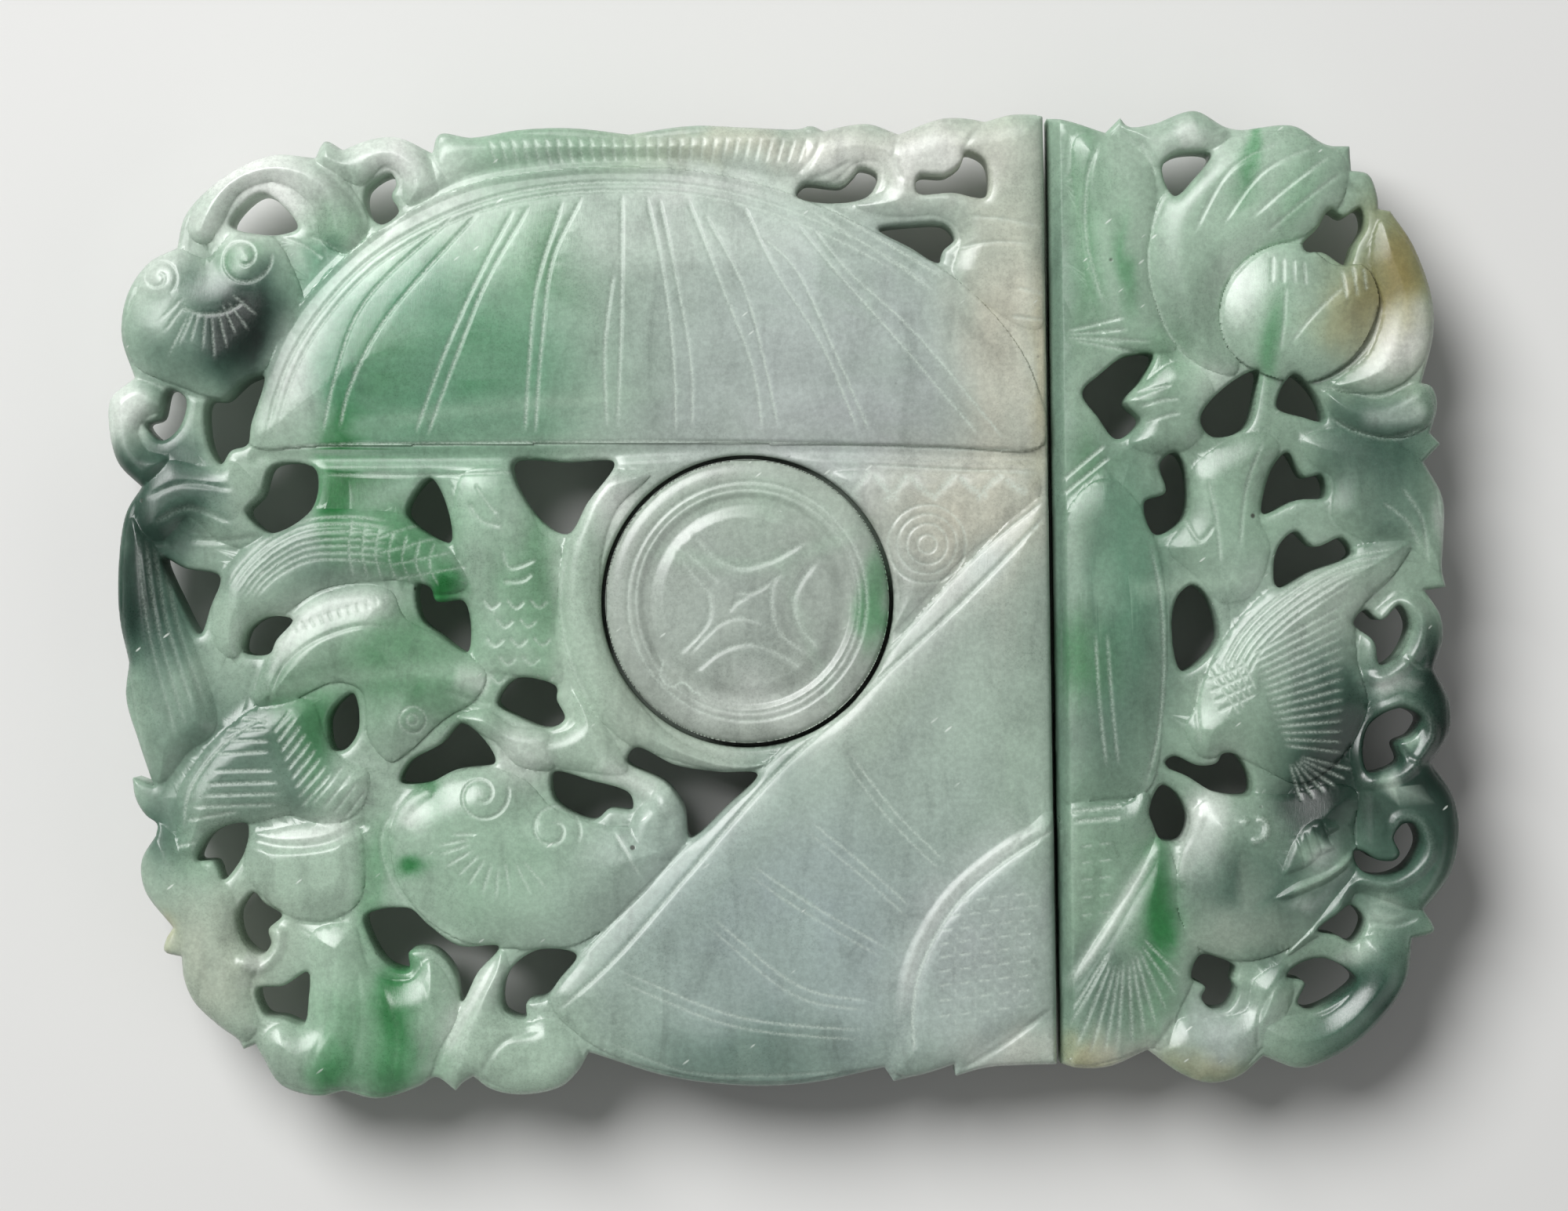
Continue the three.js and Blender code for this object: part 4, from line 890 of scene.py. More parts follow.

# Patches: the middle's x and y, half the width and height, lean in degrees, tone and
# strength. About 50 of them lie where a comparison of the render with the photograph was furthest off.
# In these tables every patch in the near-white is a painted highlight; painted shade among the darker patches
# is marked where it stands.
RECEIVER_PATCHES = [
    (1060, 560, 330, 340, 0, LILAC, 0.85), (1020, 1200, 270, 230, 0, BLUISH, 0.8),
    (1240, 1220, 110, 150, 0, LILAC, 0.6), (940, 800, 230, 210, 0, WARM, 0.3),
    (590, 440, 190, 190, 15, SOFT_GREEN, 0.75), (600, 470, 120, 120, 12, SEA, 0.6),
    (480, 510, 80, 80, 0, SEA, 0.5), (428, 560, 26, 90, 2, EMERALD, 0.7),
    (480, 450, 40, 90, -25, GREEN, 0.4), (622, 455, 38, 50, 0, EMERALD, 0.35),
    (650, 300, 120, 50, 0, PALE, 0.4), (530, 350, 60, 40, -30, GREEN, 0.5),
    (690, 330, 34, 60, 10, GREEN, 0.55), (620, 330, 60, 46, 0, SOFT_GREEN, 0.6),
    (732, 470, 14, 80, 3, GREEN, 0.35), (366, 462, 24, 110, -24, HIGHLIGHT_WHITE, 0.4),
    (425, 380, 50, 70, 25, SEA, 0.6), (425, 480, 44, 50, 0, SEA, 0.5),
    (505, 350, 60, 40, 0, SOFT_GREEN, 0.7), (880, 300, 190, 50, 0, HIGHLIGHT_WHITE, 0.3),
    (1282, 420, 66, 260, 0, WARM, 0.75), (1170, 200, 150, 60, 0, CREAM, 0.75),
    (1060, 198, 60, 30, 0, HIGHLIGHT_WHITE, 0.8), (900, 186, 170, 28, 0, WARM, 0.65),
    (700, 188, 160, 26, 0, SOFT_GREEN, 0.6), (1322, 500, 12, 140, 0, OCHRE, 0.25),
    (330, 238, 150, 60, 30, HIGHLIGHT_WHITE, 0.85), (500, 196, 70, 40, 0, HIGHLIGHT_WHITE, 0.9),
    (200, 336, 50, 44, 0, HIGHLIGHT_WHITE, 0.5), (440, 300, 50, 40, 0, GREEN, 0.4), (240, 450, 80, 60, 0, SLATE, 0.5),
    # Partly the stone's dark green, partly painted shade: the dark patches at (300, 380), (306, 428) and
    # (310, 400) deepen the shade in the upper-left bat's middle, below its brow.
    (290, 450, 70, 50, 0, SLATE, 0.6), (300, 380, 70, 44, 0, SLATE, 0.85), (306, 428, 40, 48, 0, DEEP, 1.0),
    (310, 400, 44, 36, 0, DEEP, 0.8), (150, 530, 26, 50, 0, HIGHLIGHT_WHITE, 0.6), (176, 592, 40, 26, 0, DEEP, 0.6),
    (200, 660, 50, 90, 0, SLATE, 0.8), (262, 640, 30, 30, 0, SLATE, 0.8), (222, 610, 36, 50, 0, SLATE, 0.7),
    (225, 800, 30, 50, 0, SLATE, 0.7), (188, 770, 40, 130, 0, SLATE, 0.95),
    (180, 740, 30, 100, 0, DEEP, 0.7), (290, 940, 100, 80, 0, SLATE, 0.5), (180, 890, 26, 60, 0, PALE, 0.6),
    (430, 630, 22, 60, 0, EMERALD, 0.8), (380, 720, 120, 60, 0, SLATE, 0.35),
    (520, 690, 60, 44, 20, EMERALD, 0.5), (566, 750, 18, 26, 0, EMERALD, 0.9),
    (470, 790, 40, 30, 0, HIGHLIGHT_WHITE, 0.35), (520, 850, 90, 70, 0, GREEN, 0.75),
    (380, 900, 50, 50, 0, GREEN, 0.6), (360, 990, 60, 70, 20, SLATE, 0.35),
    (404, 940, 22, 60, 0, EMERALD, 0.4), (690, 740, 24, 120, 0, GREEN, 0.6),
    (640, 780, 60, 110, 0, SOFT_GREEN, 0.6), (664, 745, 34, 44, 0, GREEN, 0.3),
    (590, 640, 40, 60, 0, SOFT_GREEN, 0.5), (745, 780, 40, 170, 0, PALE, 0.6),
    (620, 1090, 130, 100, 0, SOFT_GREEN, 0.5), (546, 1016, 20, 24, 0, EMERALD, 0.6),
    (524, 1106, 20, 16, 0, EMERALD, 0.75), (470, 1120, 22, 80, 0, GREEN, 0.6),
    (400, 1120, 60, 60, 0, PALE, 0.6), (480, 1310, 80, 90, 0, GREEN, 0.6),
    (512, 1290, 22, 80, 0, EMERALD, 0.85), (425, 1362, 30, 30, 0, EMERALD, 0.6),
    (425, 1250, 50, 40, 0, PALE, 0.5), (490, 1370, 20, 40, 0, EMERALD, 0.5),
    (260, 1230, 90, 90, 0, WARM, 0.4), (214, 1196, 20, 24, 0, OCHRE, 0.35),
    (215, 1060, 40, 54, 0, SLATE, 0.65), (250, 1090, 30, 50, 0, SOFT_GREEN, 0.4),
    (650, 1340, 90, 70, 0, PALE, 0.7), (1230, 660, 120, 90, 0, WARM, 0.75),
    # Painted shade: the patches at (515, 374), (424, 364), (300, 322), (995, 975) and (1260, 720) darken
    # where the key lamp puts a bright highlight on the dome's upper-left edge, the bat and two ridges; the
    # first two also give the stone's green there.
    (1300, 1345, 70, 34, 0, CREAM, 0.5), (515, 374, 80, 40, -20, SEA, 0.7), (424, 364, 36, 40, 0, SEA, 0.7),
    (300, 322, 36, 20, 0, GREEN, 0.4), (780, 640, 34, 36, 0, HIGHLIGHT_WHITE, 0.6),
    (950, 1345, 130, 44, 0, SLATE, 0.4), (995, 975, 40, 36, 0, SLATE, 0.35),
    (1260, 720, 40, 26, -40, GREYISH, 0.7), (900, 240, 110, 26, 0, HIGHLIGHT_WHITE, 0.55),
    (1180, 204, 60, 36, 0, HIGHLIGHT_WHITE, 0.6), (255, 285, 40, 28, 0, HIGHLIGHT_WHITE, 0.5),
    (460, 680, 36, 28, 0, GREEN, 0.6), (660, 960, 40, 28, 0, HIGHLIGHT_WHITE, 0.5), (222, 684, 28, 40, 0, DEEP, 0.5),
    (222, 600, 28, 30, 0, SLATE, 0.5), (340, 920, 40, 30, 0, SLATE, 0.4), (176, 518, 22, 36, 0, HIGHLIGHT_WHITE, 0.5),
]
BOSS_PATCHES = [
    (940, 770, 200, 200, 0, GREYISH, 0.4), (1112, 772, 16, 60, 0, GREEN, 0.85),
    # Painted highlights: the pale band over the boss's top and the near-white one at its foot lighten its rim
    # where the light catches it.
    (960, 640, 150, 40, 0, PALE, 0.4), (960, 900, 90, 30, 0, HIGHLIGHT_WHITE, 0.35),
]
TONGUE_PATCHES = [
    (1600, 260, 140, 120, 0, PALE, 0.5), (1430, 260, 60, 150, 0, PALE, 0.6),
    (1380, 300, 30, 130, 0, GREEN, 0.5), (1436, 340, 14, 60, 0, EMERALD, 0.4),
    (1598, 205, 13, 60, 12, EMERALD, 0.8), (1660, 250, 24, 60, 10, GREEN, 0.45),
    (1530, 180, 80, 30, 0, HIGHLIGHT_WHITE, 0.4), (1630, 400, 70, 80, 0, PALE, 0.7),
    (1625, 430, 15, 60, 6, EMERALD, 0.45), (1590, 370, 30, 44, 0, HIGHLIGHT_WHITE, 0.15),
    (1778, 350, 56, 90, 0, RUSSET, 0.75), (1712, 400, 40, 46, 0, OCHRE, 0.35),
    (1796, 430, 44, 44, 0, CREAM, 0.7), (1750, 578, 70, 64, 0, SLATE, 0.85),
    (1540, 480, 40, 30, 0, HIGHLIGHT_WHITE, 0.5), (1480, 470, 50, 40, 0, GREEN, 0.5),
    (1425, 830, 70, 200, 0, SLATE, 0.55), (1430, 740, 50, 150, 0, SEA, 0.45),
    (1376, 842, 50, 40, 0, GREEN, 0.6), (1366, 840, 16, 50, 0, EMERALD, 0.5),
    (1374, 600, 26, 60, 0, GREEN, 0.5), (1580, 640, 80, 100, 0, SOFT_GREEN, 0.2),
    (1820, 700, 30, 30, 0, PALE, 0.4), (1640, 790, 130, 100, 0, GREYISH, 0.4),
    (1700, 770, 80, 60, 0, CREAM, 0.2), (1690, 960, 60, 70, 0, SLATE, 0.8),
    (1700, 990, 36, 60, 0, DEEP, 0.5), (1838, 930, 42, 90, 0, DEEP, 1.0),
    (1816, 872, 40, 40, 0, SLATE, 0.7), (1715, 876, 54, 46, 0, SLATE, 0.85),
    (1664, 1040, 40, 30, 0, DEEP, 0.6), (1740, 925, 40, 40, 0, DEEP, 0.7),
    (1655, 1010, 44, 26, 0, DEEP, 0.7), (1790, 980, 60, 60, 0, SLATE, 0.8),
    (1800, 1130, 70, 60, 0, SLATE, 0.5), (1840, 1050, 34, 66, 0, DEEP, 0.9),
    (1800, 1050, 50, 60, 0, SLATE, 0.6), (1600, 1130, 80, 70, 0, SLATE, 0.75),
    (1580, 1190, 60, 40, 0, CREAM, 0.35), (1400, 1110, 50, 100, 0, SOFT_GREEN, 0.5),
    (1482, 1170, 24, 80, 0, EMERALD, 0.75), (1400, 1260, 60, 66, 0, SLATE, 0.4),
    (1388, 1345, 50, 22, 0, OCHRE, 0.5), (1530, 1366, 60, 22, 0, OCHRE, 0.4),
    (1550, 1320, 60, 50, 0, LILAC, 0.6), (1700, 1322, 40, 34, 0, SLATE, 0.5),
    (1738, 1282, 44, 44, 0, SLATE, 0.8), (1770, 1260, 46, 60, 0, SLATE, 0.9),
    (1778, 1290, 30, 40, 0, DEEP, 0.3), (1440, 1340, 60, 30, 0, CREAM, 0.5),
    # Painted light: the two long pale patches at x 1352 lift the seam's bevel, which the receiver's edge
    # leaves in shade.
    (1352, 760, 20, 700, 0, PALE, 0.5), (1352, 240, 26, 110, 0, PALE, 0.5),
    (1600, 260, 110, 110, 0, PALE, 0.4), (1440, 480, 100, 60, 0, PALE, 0.4),
    (1540, 1040, 26, 80, 14, HIGHLIGHT_WHITE, 0.5), (1772, 864, 26, 12, -20, HIGHLIGHT_WHITE, 0.75),
    (1770, 1000, 14, 20, 0, HIGHLIGHT_WHITE, 0.7), (1766, 1158, 28, 22, 20, HIGHLIGHT_WHITE, 0.7),
    (1836, 664, 10, 34, -10, HIGHLIGHT_WHITE, 0.6), (1740, 1210, 30, 14, -30, HIGHLIGHT_WHITE, 0.5),
    (1680, 1080, 24, 20, -40, HIGHLIGHT_WHITE, 0.7), (1680, 1128, 40, 8, -30, HIGHLIGHT_WHITE, 0.7),
    (1560, 860, 30, 60, 40, PALE, 0.6), (1480, 1290, 30, 30, 0, GREEN, 0.3),
    (1820, 850, 36, 50, 0, DEEP, 0.75), (1760, 1090, 90, 60, 0, SLATE, 0.6),
    (1690, 950, 60, 80, 0, DEEP, 0.55), (1700, 1120, 40, 28, 0, SLATE, 0.6),
    (1740, 1044, 40, 36, 0, DEEP, 0.4), (1780, 1190, 36, 36, 0, SLATE, 0.5),
    (1735, 524, 40, 28, 0, SLATE, 0.6), (1780, 664, 44, 44, 0, SLATE, 0.5),
    (1820, 1000, 34, 36, 0, DEEP, 0.6), (1620, 1242, 34, 26, 0, SLATE, 0.4),
]

# Faint pale veins through both halves; painted highlights on the facets along the upper left of the raised
# forms, where the key lamp's light falls; and painted shade down the seam: line, half width, tone and
# strength
STROKES = [
    ([(400, 556), (560, 528), (760, 508), (880, 500)], 10, PALE, 0.4),
    ([(1355, 766), (1470, 752), (1620, 734)], 12, PALE, 0.4),
    ([(810, 700), (960, 720), (1040, 700), (1130, 660)], 12, PALE, 0.4),
    ([(300, 890), (460, 862), (610, 850), (720, 828)], 12, PALE, 0.4),
    ([(960, 600), (1010, 760), (1080, 940)], 8, PALE, 0.25),
    ([(1480, 420), (1560, 520), (1600, 640)], 10, PALE, 0.3),
    # Painted highlights down to the seam's row: pale and near-white strokes on facets that the key lamp
    # lights.
    ([(345, 852), (372, 806), (420, 776), (480, 774), (506, 786)], 24, HIGHLIGHT_WHITE, 0.55),
    ([(350, 566), (378, 460), (440, 356), (530, 276), (640, 232)], 26, HIGHLIGHT_WHITE, 0.5),
    ([(262, 250), (310, 206), (380, 198)], 18, HIGHLIGHT_WHITE, 0.6),
    ([(330, 1062), (400, 1064), (456, 1050)], 18, HIGHLIGHT_WHITE, 0.5),
    ([(578, 862), (604, 868), (628, 876)], 16, HIGHLIGHT_WHITE, 0.5),
    ([(516, 1058), (532, 1036), (556, 1024)], 14, HIGHLIGHT_WHITE, 0.5),
    ([(566, 1350), (590, 1290), (640, 1220)], 16, HIGHLIGHT_WHITE, 0.45),
    ([(310, 1222), (340, 1232)], 12, HIGHLIGHT_WHITE, 0.4), ([(762, 982), (800, 994), (840, 1014)], 16, HIGHLIGHT_WHITE, 0.4),
    ([(1154, 1300), (1164, 1226), (1208, 1148), (1268, 1094), (1338, 1048)], 12, HIGHLIGHT_WHITE, 0.5),
    ([(1590, 332), (1576, 370), (1582, 430)], 18, HIGHLIGHT_WHITE, 0.2), ([(1500, 176), (1530, 164)], 22, HIGHLIGHT_WHITE, 0.4),
    ([(1798, 366), (1812, 420), (1780, 460), (1716, 486)], 22, HIGHLIGHT_WHITE, 0.5),
    ([(1730, 534), (1790, 530), (1822, 516)], 14, HIGHLIGHT_WHITE, 0.4),
    ([(1700, 800), (1722, 760), (1780, 706)], 8, PALE, 0.3),
    ([(1540, 1010), (1516, 1060), (1502, 1130)], 14, HIGHLIGHT_WHITE, 0.45),
    ([(1536, 858), (1532, 900), (1534, 950)], 12, PALE, 0.4), ([(1786, 840), (1800, 800)], 12, PALE, 0.5),
    ([(1790, 952), (1812, 940)], 10, PALE, 0.6), ([(1756, 990), (1784, 1008)], 10, PALE, 0.5),
    ([(1640, 1140), (1700, 1112), (1728, 1084)], 9, PALE, 0.6),
    ([(1654, 1096), (1680, 1062)], 14, PALE, 0.5),
    ([(1740, 1140), (1770, 1160), (1740, 1200), (1700, 1214)], 22, PALE, 0.5),
    ([(1545, 1252), (1620, 1240)], 10, PALE, 0.5),
    ([(1478, 1076), (1440, 1138), (1408, 1192), (1360, 1262)], 9, HIGHLIGHT_WHITE, 0.5),
    # Painted shade: a dark line down the seam, standing for the shade in its gap and on the bevel beside it.
    ([(1348, 130), (1352, 1376)], 11, SLATE, 0.4),
]

PATCH_MARGIN_PX = 40
PATCH_FALL = 1.3
SPECKLE = 0.16


def painted(base, patches):
    """The jade's colour over the sheet, with painted highlights and painted shade among its patches and
    strokes: a base, then oval patches whose edges random spots break up.

    A patch fades as exp(-(squared share of its half size) to the power PATCH_FALL), measured from
    points that a smooth random push moves sideways and, more so, up and down. Tones mix as screen
    colours.
    """
    push_x = 10 * cloud(60, 11, 1.6) + 4 * cloud(16, 12, 1.5)
    push_y = 15 * cloud(60, 13, 1.6) + 6 * cloud(16, 14, 1.5)
    speck = 1 + SPECKLE * cloud(26, 15, 2.6, 3)
    tint = np.empty(ACROSS.shape + (3,))
    tint[:] = base
    for centre_x, centre_y, half_width, half_height, lean, tone, strength in patches:
        reach = 2.0 * max(half_width, half_height) + PATCH_MARGIN_PX
        area = window((centre_x - reach, centre_y - reach), (centre_x + reach, centre_y + reach))
        x = ACROSS[area] + push_x[area] - centre_x
        y = DOWN[area] + push_y[area] - centre_y
        turn = math.radians(lean)
        u = (x * math.cos(turn) + y * math.sin(turn)) / half_width
        v = (-x * math.sin(turn) + y * math.cos(turn)) / half_height
        share = (u * u + v * v) ** PATCH_FALL
        weight = np.clip(strength * np.exp(-share) * speck[area], 0, 1)[..., None]
        tint[area] = tint[area] * (1 - weight) + np.array(tone) * weight
    for row, width, tone, strength in STROKES:
        area, distance, share = near(smooth(row), width * 2)
        ends = np.clip(np.minimum(share, 1 - share) * 6, 0, 1)
        weight = (strength * np.exp(-(distance / width) ** 2) * ends * speck[area])[..., None]
        tint[area] = tint[area] * (1 - weight) + np.array(tone) * weight
    return linear(tint)


def sample(field, points):
    """A field of the sheet at any points in pixels, blended between the four nearest."""
    column = np.clip((points[:, 0] - WEST_PX) / STEP_PX, 0, field.shape[1] - 1.001)
    row = np.clip((SOUTH_PX - points[:, 1]) / STEP_PX, 0, field.shape[0] - 1.001)
    c, r = column.astype(int), row.astype(int)
    u, v = column - c, row - r
    if field.ndim == 3:
        u, v = u[:, None], v[:, None]
    low = field[r, c] * (1 - u) + field[r, c + 1] * u
    high = field[r + 1, c] * (1 - u) + field[r + 1, c + 1] * u
    return low * (1 - v) + high * v


def to_mm(points):
    """Pixels of the photograph as millimetres of the front view."""
    points = np.atleast_2d(np.array(points, float))
    return np.column_stack([points[:, 0] - MIDDLE_PX[0], MIDDLE_PX[1] - points[:, 1]]) * PIXEL


def build_mesh(name, vertices_mm, faces_by_size):
    """A mesh from vertices in millimetres and, for each number of corners, an array of faces."""
    mesh = bpy.data.meshes.new(name)
    faces = [np.atleast_2d(f) for f in faces_by_size if len(f)]
    corners = np.concatenate([f.ravel() for f in faces]).astype(np.int32)
    totals = np.concatenate([np.full(len(f), f.shape[1]) for f in faces]).astype(np.int32)
    mesh.vertices.add(len(vertices_mm))
    mesh.vertices.foreach_set("co", (np.asarray(vertices_mm) * MM).astype(np.float32).ravel())
    mesh.loops.add(len(corners))
    mesh.loops.foreach_set("vertex_index", corners)
    mesh.polygons.add(len(totals))
    mesh.polygons.foreach_set("loop_start", np.concatenate([[0], np.cumsum(totals)[:-1]]).astype(np.int32))
    mesh.polygons.foreach_set("loop_total", totals)
    mesh.update(calc_edges=True)
    mesh.validate()
    return mesh


def new_object(name, mesh):
    piece = bpy.data.objects.new(name, mesh)
    bpy.context.scene.collection.objects.link(piece)
    return piece


def carved_solid(name, within, top_mm, bottom_mm, stride):
    """A closed solid whose top follows a field, with upright walls and a flat bottom.

    The top is a grid, cut where the distance in from the edge passes zero: a cell that the cut
    crosses keeps its inner corners and gains the two points where the cut meets its sides. The
    bottom has the same faces, turned over at one level, and the walls join the two along the cut.
    """
    level = within[::stride, ::stride]
    grid_x, grid_y = ACROSS[::stride, ::stride], DOWN[::stride, ::stride]
    keep = level > 0
    node = np.full(level.shape, -1)
    node[keep] = np.arange(keep.sum())
    found = [np.column_stack([grid_x[keep], grid_y[keep]])]

    def crossings(here, there):
        a, b = level[here], level[there]
        mixed = (a > 0) != (b > 0)
        share = np.clip(a[mixed] / (a[mixed] - b[mixed]), 0.02, 0.98)
        index = np.full(a.shape, -1)
        index[mixed] = sum(len(f) for f in found) + np.arange(mixed.sum())
        low = np.column_stack([grid_x[here][mixed], grid_y[here][mixed]])
        high = np.column_stack([grid_x[there][mixed], grid_y[there][mixed]])
        found.append(low + share[:, None] * (high - low))
        return index

    every = slice(None)
    flat = crossings((every, slice(None, -1)), (every, slice(1, None)))
    upright = crossings((slice(None, -1), every), (slice(1, None), every))
    points = np.vstack(found)
    corner = [node[:-1, :-1], node[:-1, 1:], node[1:, 1:], node[1:, :-1]]
    side = [flat[:-1], upright[:, 1:], flat[1:], upright[:, :-1]]
    case = sum((c >= 0).astype(int) << k for k, c in enumerate(corner))
    faces, rim = {}, []
    for pattern in range(1, 16):
        cells = case == pattern
        if not cells.any():
            continue
        ring = []
        for k in range(4):
            here, there = pattern >> k & 1, pattern >> (k + 1) % 4 & 1
            if here:
                ring.append((corner[k][cells], False))
            if here != there:
                ring.append((side[k][cells], True))
        faces.setdefault(len(ring), []).append(np.column_stack([ids for ids, _ in ring]))
        for (ids, cut_here), (after, cut_after) in zip(ring, ring[1:] + ring[:1]):
            if cut_here and cut_after:
                rim.append(np.column_stack([ids, after]))
    front, count = to_mm(points), len(points)
    vertices = np.vstack([np.column_stack([front, sample(top_mm, points)]),
                          np.column_stack([front, np.full(count, bottom_mm)])])
    top = [np.vstack(f) for f in faces.values()]
    a, b = np.vstack(rim).T
    walls = np.column_stack([b, a, a + count, b + count])
    return new_object(name, build_mesh(name, vertices, top + [f[:, ::-1] + count for f in top] + [walls]))


def stack(name, rings):
    """A closed solid from rings of points, one above the other, with flat ends."""
    count = len(rings[0])
    turn = np.arange(count)
    after = (turn + 1) % count
    wall = np.column_stack([turn, after, after + count, turn + count])
    walls = [wall + k * count for k in range(len(rings) - 1)]
    last = (len(rings) - 1) * count
    return new_object(name, build_mesh(name, np.vstack(rings), [np.vstack(walls), turn[::-1], turn + last]))


def ring_at(points, z):
    return np.column_stack([points, np.full(len(points), z)])


def stud(name, centre):
    """A belt stud: a flat round head with rounded rims on a neck that flares into the back."""
    turn = np.linspace(0, 2 * math.pi, 96, endpoint=False)
    quarter = np.radians(np.arange(0, 91, 15))
    circle = np.column_stack([np.cos(turn), np.sin(turn)])
    soft, flare = STUD_RIM_ROUND, STUD_NECK_FLARE
    head = STUD_HEAD_RADIUS - soft
    profile = [(head + soft * math.sin(a), soft - soft * math.cos(a)) for a in quarter]
    profile += [(head + soft * math.cos(a), STUD_HEAD_THICKNESS - soft + soft * math.sin(a)) for a in quarter]
    profile += [(STUD_NECK_RADIUS + STUD_NECK_ROUND, STUD_HEAD_THICKNESS),
                (STUD_NECK_RADIUS, STUD_HEAD_THICKNESS + STUD_NECK_ROUND)]
    profile += [(STUD_NECK_RADIUS + flare - flare * math.cos(a), BACK_Z - flare + flare * math.sin(a))
                for a in quarter]
    profile.append((STUD_NECK_RADIUS + flare, BACK_Z + STUD_ROOT))
    return stack(name, [ring_at(circle * radius + centre, level) for radius, level in profile])


def tongue_outline(margin, reach):
    """The tongue seen from the front: a straight strip from the right that ends in a disc."""
    centre = to_mm(BOSS_CENTRE_PX)[0]
    radius, half = BOSS_RADIUS + TONGUE_LIP + margin, TONGUE_WIDTH / 2 + margin
    start = math.asin(half / radius)
    turn = np.linspace(start, 2 * math.pi - start, 150)
    disc = centre + radius * np.column_stack([np.cos(turn), np.sin(turn)])
    return np.vstack([[(reach, centre[1] - half), (reach, centre[1] + half)], disc])


def combined(piece, others):
    """The piece joined with or cut by other solids, which are then removed."""
    for operation, other in others:
        step = piece.modifiers.new("step", "BOOLEAN")
        step.operation, step.object, step.solver = operation, other, "MANIFOLD"
        count = len(piece.data.polygons)
        settle(piece)
        if len(piece.data.polygons) == count:
            raise RuntimeError(f"{piece.name} was not joined or cut")
        bpy.data.objects.remove(other)


def settle(piece):
    """Replaces a piece's mesh with what its modifiers make of it."""
    bpy.context.view_layer.update()
    evaluated = piece.evaluated_get(bpy.context.evaluated_depsgraph_get())
    made, old = bpy.data.meshes.new_from_object(evaluated), piece.data
    piece.modifiers.clear()
    piece.data = made
    bpy.data.meshes.remove(old)


RECEIVER_TRIANGLES, TONGUE_TRIANGLES = 190000, 150000
SHARP_DEGREES = 58


def finish_piece(piece, limit, tints, body, node, material):
    """Thins the mesh to its limit, stores the tone and frost of each vertex, and hands it to the frame."""
    triangles = sum(len(p.vertices) - 2 for p in piece.data.polygons)
    if triangles > limit:
        thin = piece.modifiers.new("thin", "DECIMATE")
        thin.ratio = limit / triangles
        settle(piece)
    mesh = piece.data
    places = np.zeros(len(mesh.vertices) * 3, np.float32)
    mesh.vertices.foreach_get("co", places)
    places = places.reshape(-1, 3) / MM
    points = np.column_stack([places[:, 0], -places[:, 1]]) / PIXEL + MIDDLE_PX
    on_face = places[:, 2] > FACE_Z - CARVED_DEPTH
    colour = np.ones((len(points), 4), np.float32)
    colour[:, :3] = tints(points)
    mesh.attributes.new("tone", "FLOAT_COLOR", "POINT").data.foreach_set("color", colour.ravel())
    worn = np.where(on_face, sample(frost, points), 0).astype(np.float32)
    mesh.attributes.new("frosting", "FLOAT", "POINT").data.foreach_set("value", worn)
    mesh.polygons.foreach_set("use_smooth", np.ones(len(mesh.polygons), bool))
    mesh.set_sharp_from_angle(angle=math.radians(SHARP_DEGREES))
    mesh.materials.clear()
    mesh.materials.append(material)
    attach(piece, body)
    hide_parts(node)


class Sum:
    """A shader value that Python's signs work on: each sign adds one Math or Vector Math node."""

    def __init__(self, tree, socket):
        self.tree, self.socket = tree, socket

    def make(self, kind, output, settings=(), **inputs):
        node = self.tree.nodes.new(kind)
        for name, value in dict(settings).items():
            setattr(node, name, value)
        for name, value in inputs.items():
            key = int(name[1:]) if name[0] == "i" and name[1:].isdigit() else name.replace("_", " ")
            if isinstance(value, Sum):
                self.tree.links.new(value.socket, node.inputs[key])
            else:
                node.inputs[key].default_value = value
        return Sum(self.tree, node.outputs[output])

    def math(self, operation, *values):
        inputs = {f"i{k}": value for k, value in enumerate(values)}
        return self.make("ShaderNodeMath", 0, {"operation": operation}, **inputs)

    def __add__(self, other):
        return self.math("ADD", self, other)

    def __sub__(self, other):
        return self.math("SUBTRACT", self, other)

    def __rsub__(self, other):
        return self.math("SUBTRACT", other, self)

    def __mul__(self, other):
        return self.math("MULTIPLY", self, other)

    __radd__, __rmul__ = __add__, __mul__

    def between(self, low, high):
        """Zero below the low value, one above the high one, and a smooth rise between them."""
        settings = {"interpolation_type": "SMOOTHSTEP"}
        return self.make("ShaderNodeMapRange", 0, settings, Value=self, From_Min=low, From_Max=high)

    def mix(self, other, factor):
        """This colour blended towards another one."""
        return self.make("ShaderNodeMix", 2, {"data_type": "RGBA"}, i0=factor, i6=self, i7=other)

    def dimmed(self, factor):
        return self.make("ShaderNodeVectorMath", 0, {"operation": "SCALE"}, i0=self, i3=factor)

    def scaled(self, x, y, z):
        return self.make("ShaderNodeVectorMath", 0, {"operation": "MULTIPLY"}, i0=self, i1=(x, y, z))

    def noise(self, scale, detail=2.0, rough=0.5, warp=0.0):
        return self.make("ShaderNodeTexNoise", "Fac", Vector=self, Scale=scale, Detail=detail,
                         Roughness=rough, Distortion=warp)

    def nicks(self, angle):
        """Short thin strokes at one angle: the middles of random cells that are drawn out along it."""
        turned = self.make("ShaderNodeVectorRotate", 0, {"rotation_type": "Z_AXIS"}, Vector=self, Angle=angle)
        drawn_out = turned.scaled(2.2, 0.5, 1)
        cells = turned.make("ShaderNodeTexVoronoi", "Distance", {"feature": "F1"}, Vector=drawn_out,
                            Scale=520.0)
        return 1 - cells.between(0.05, 0.1)


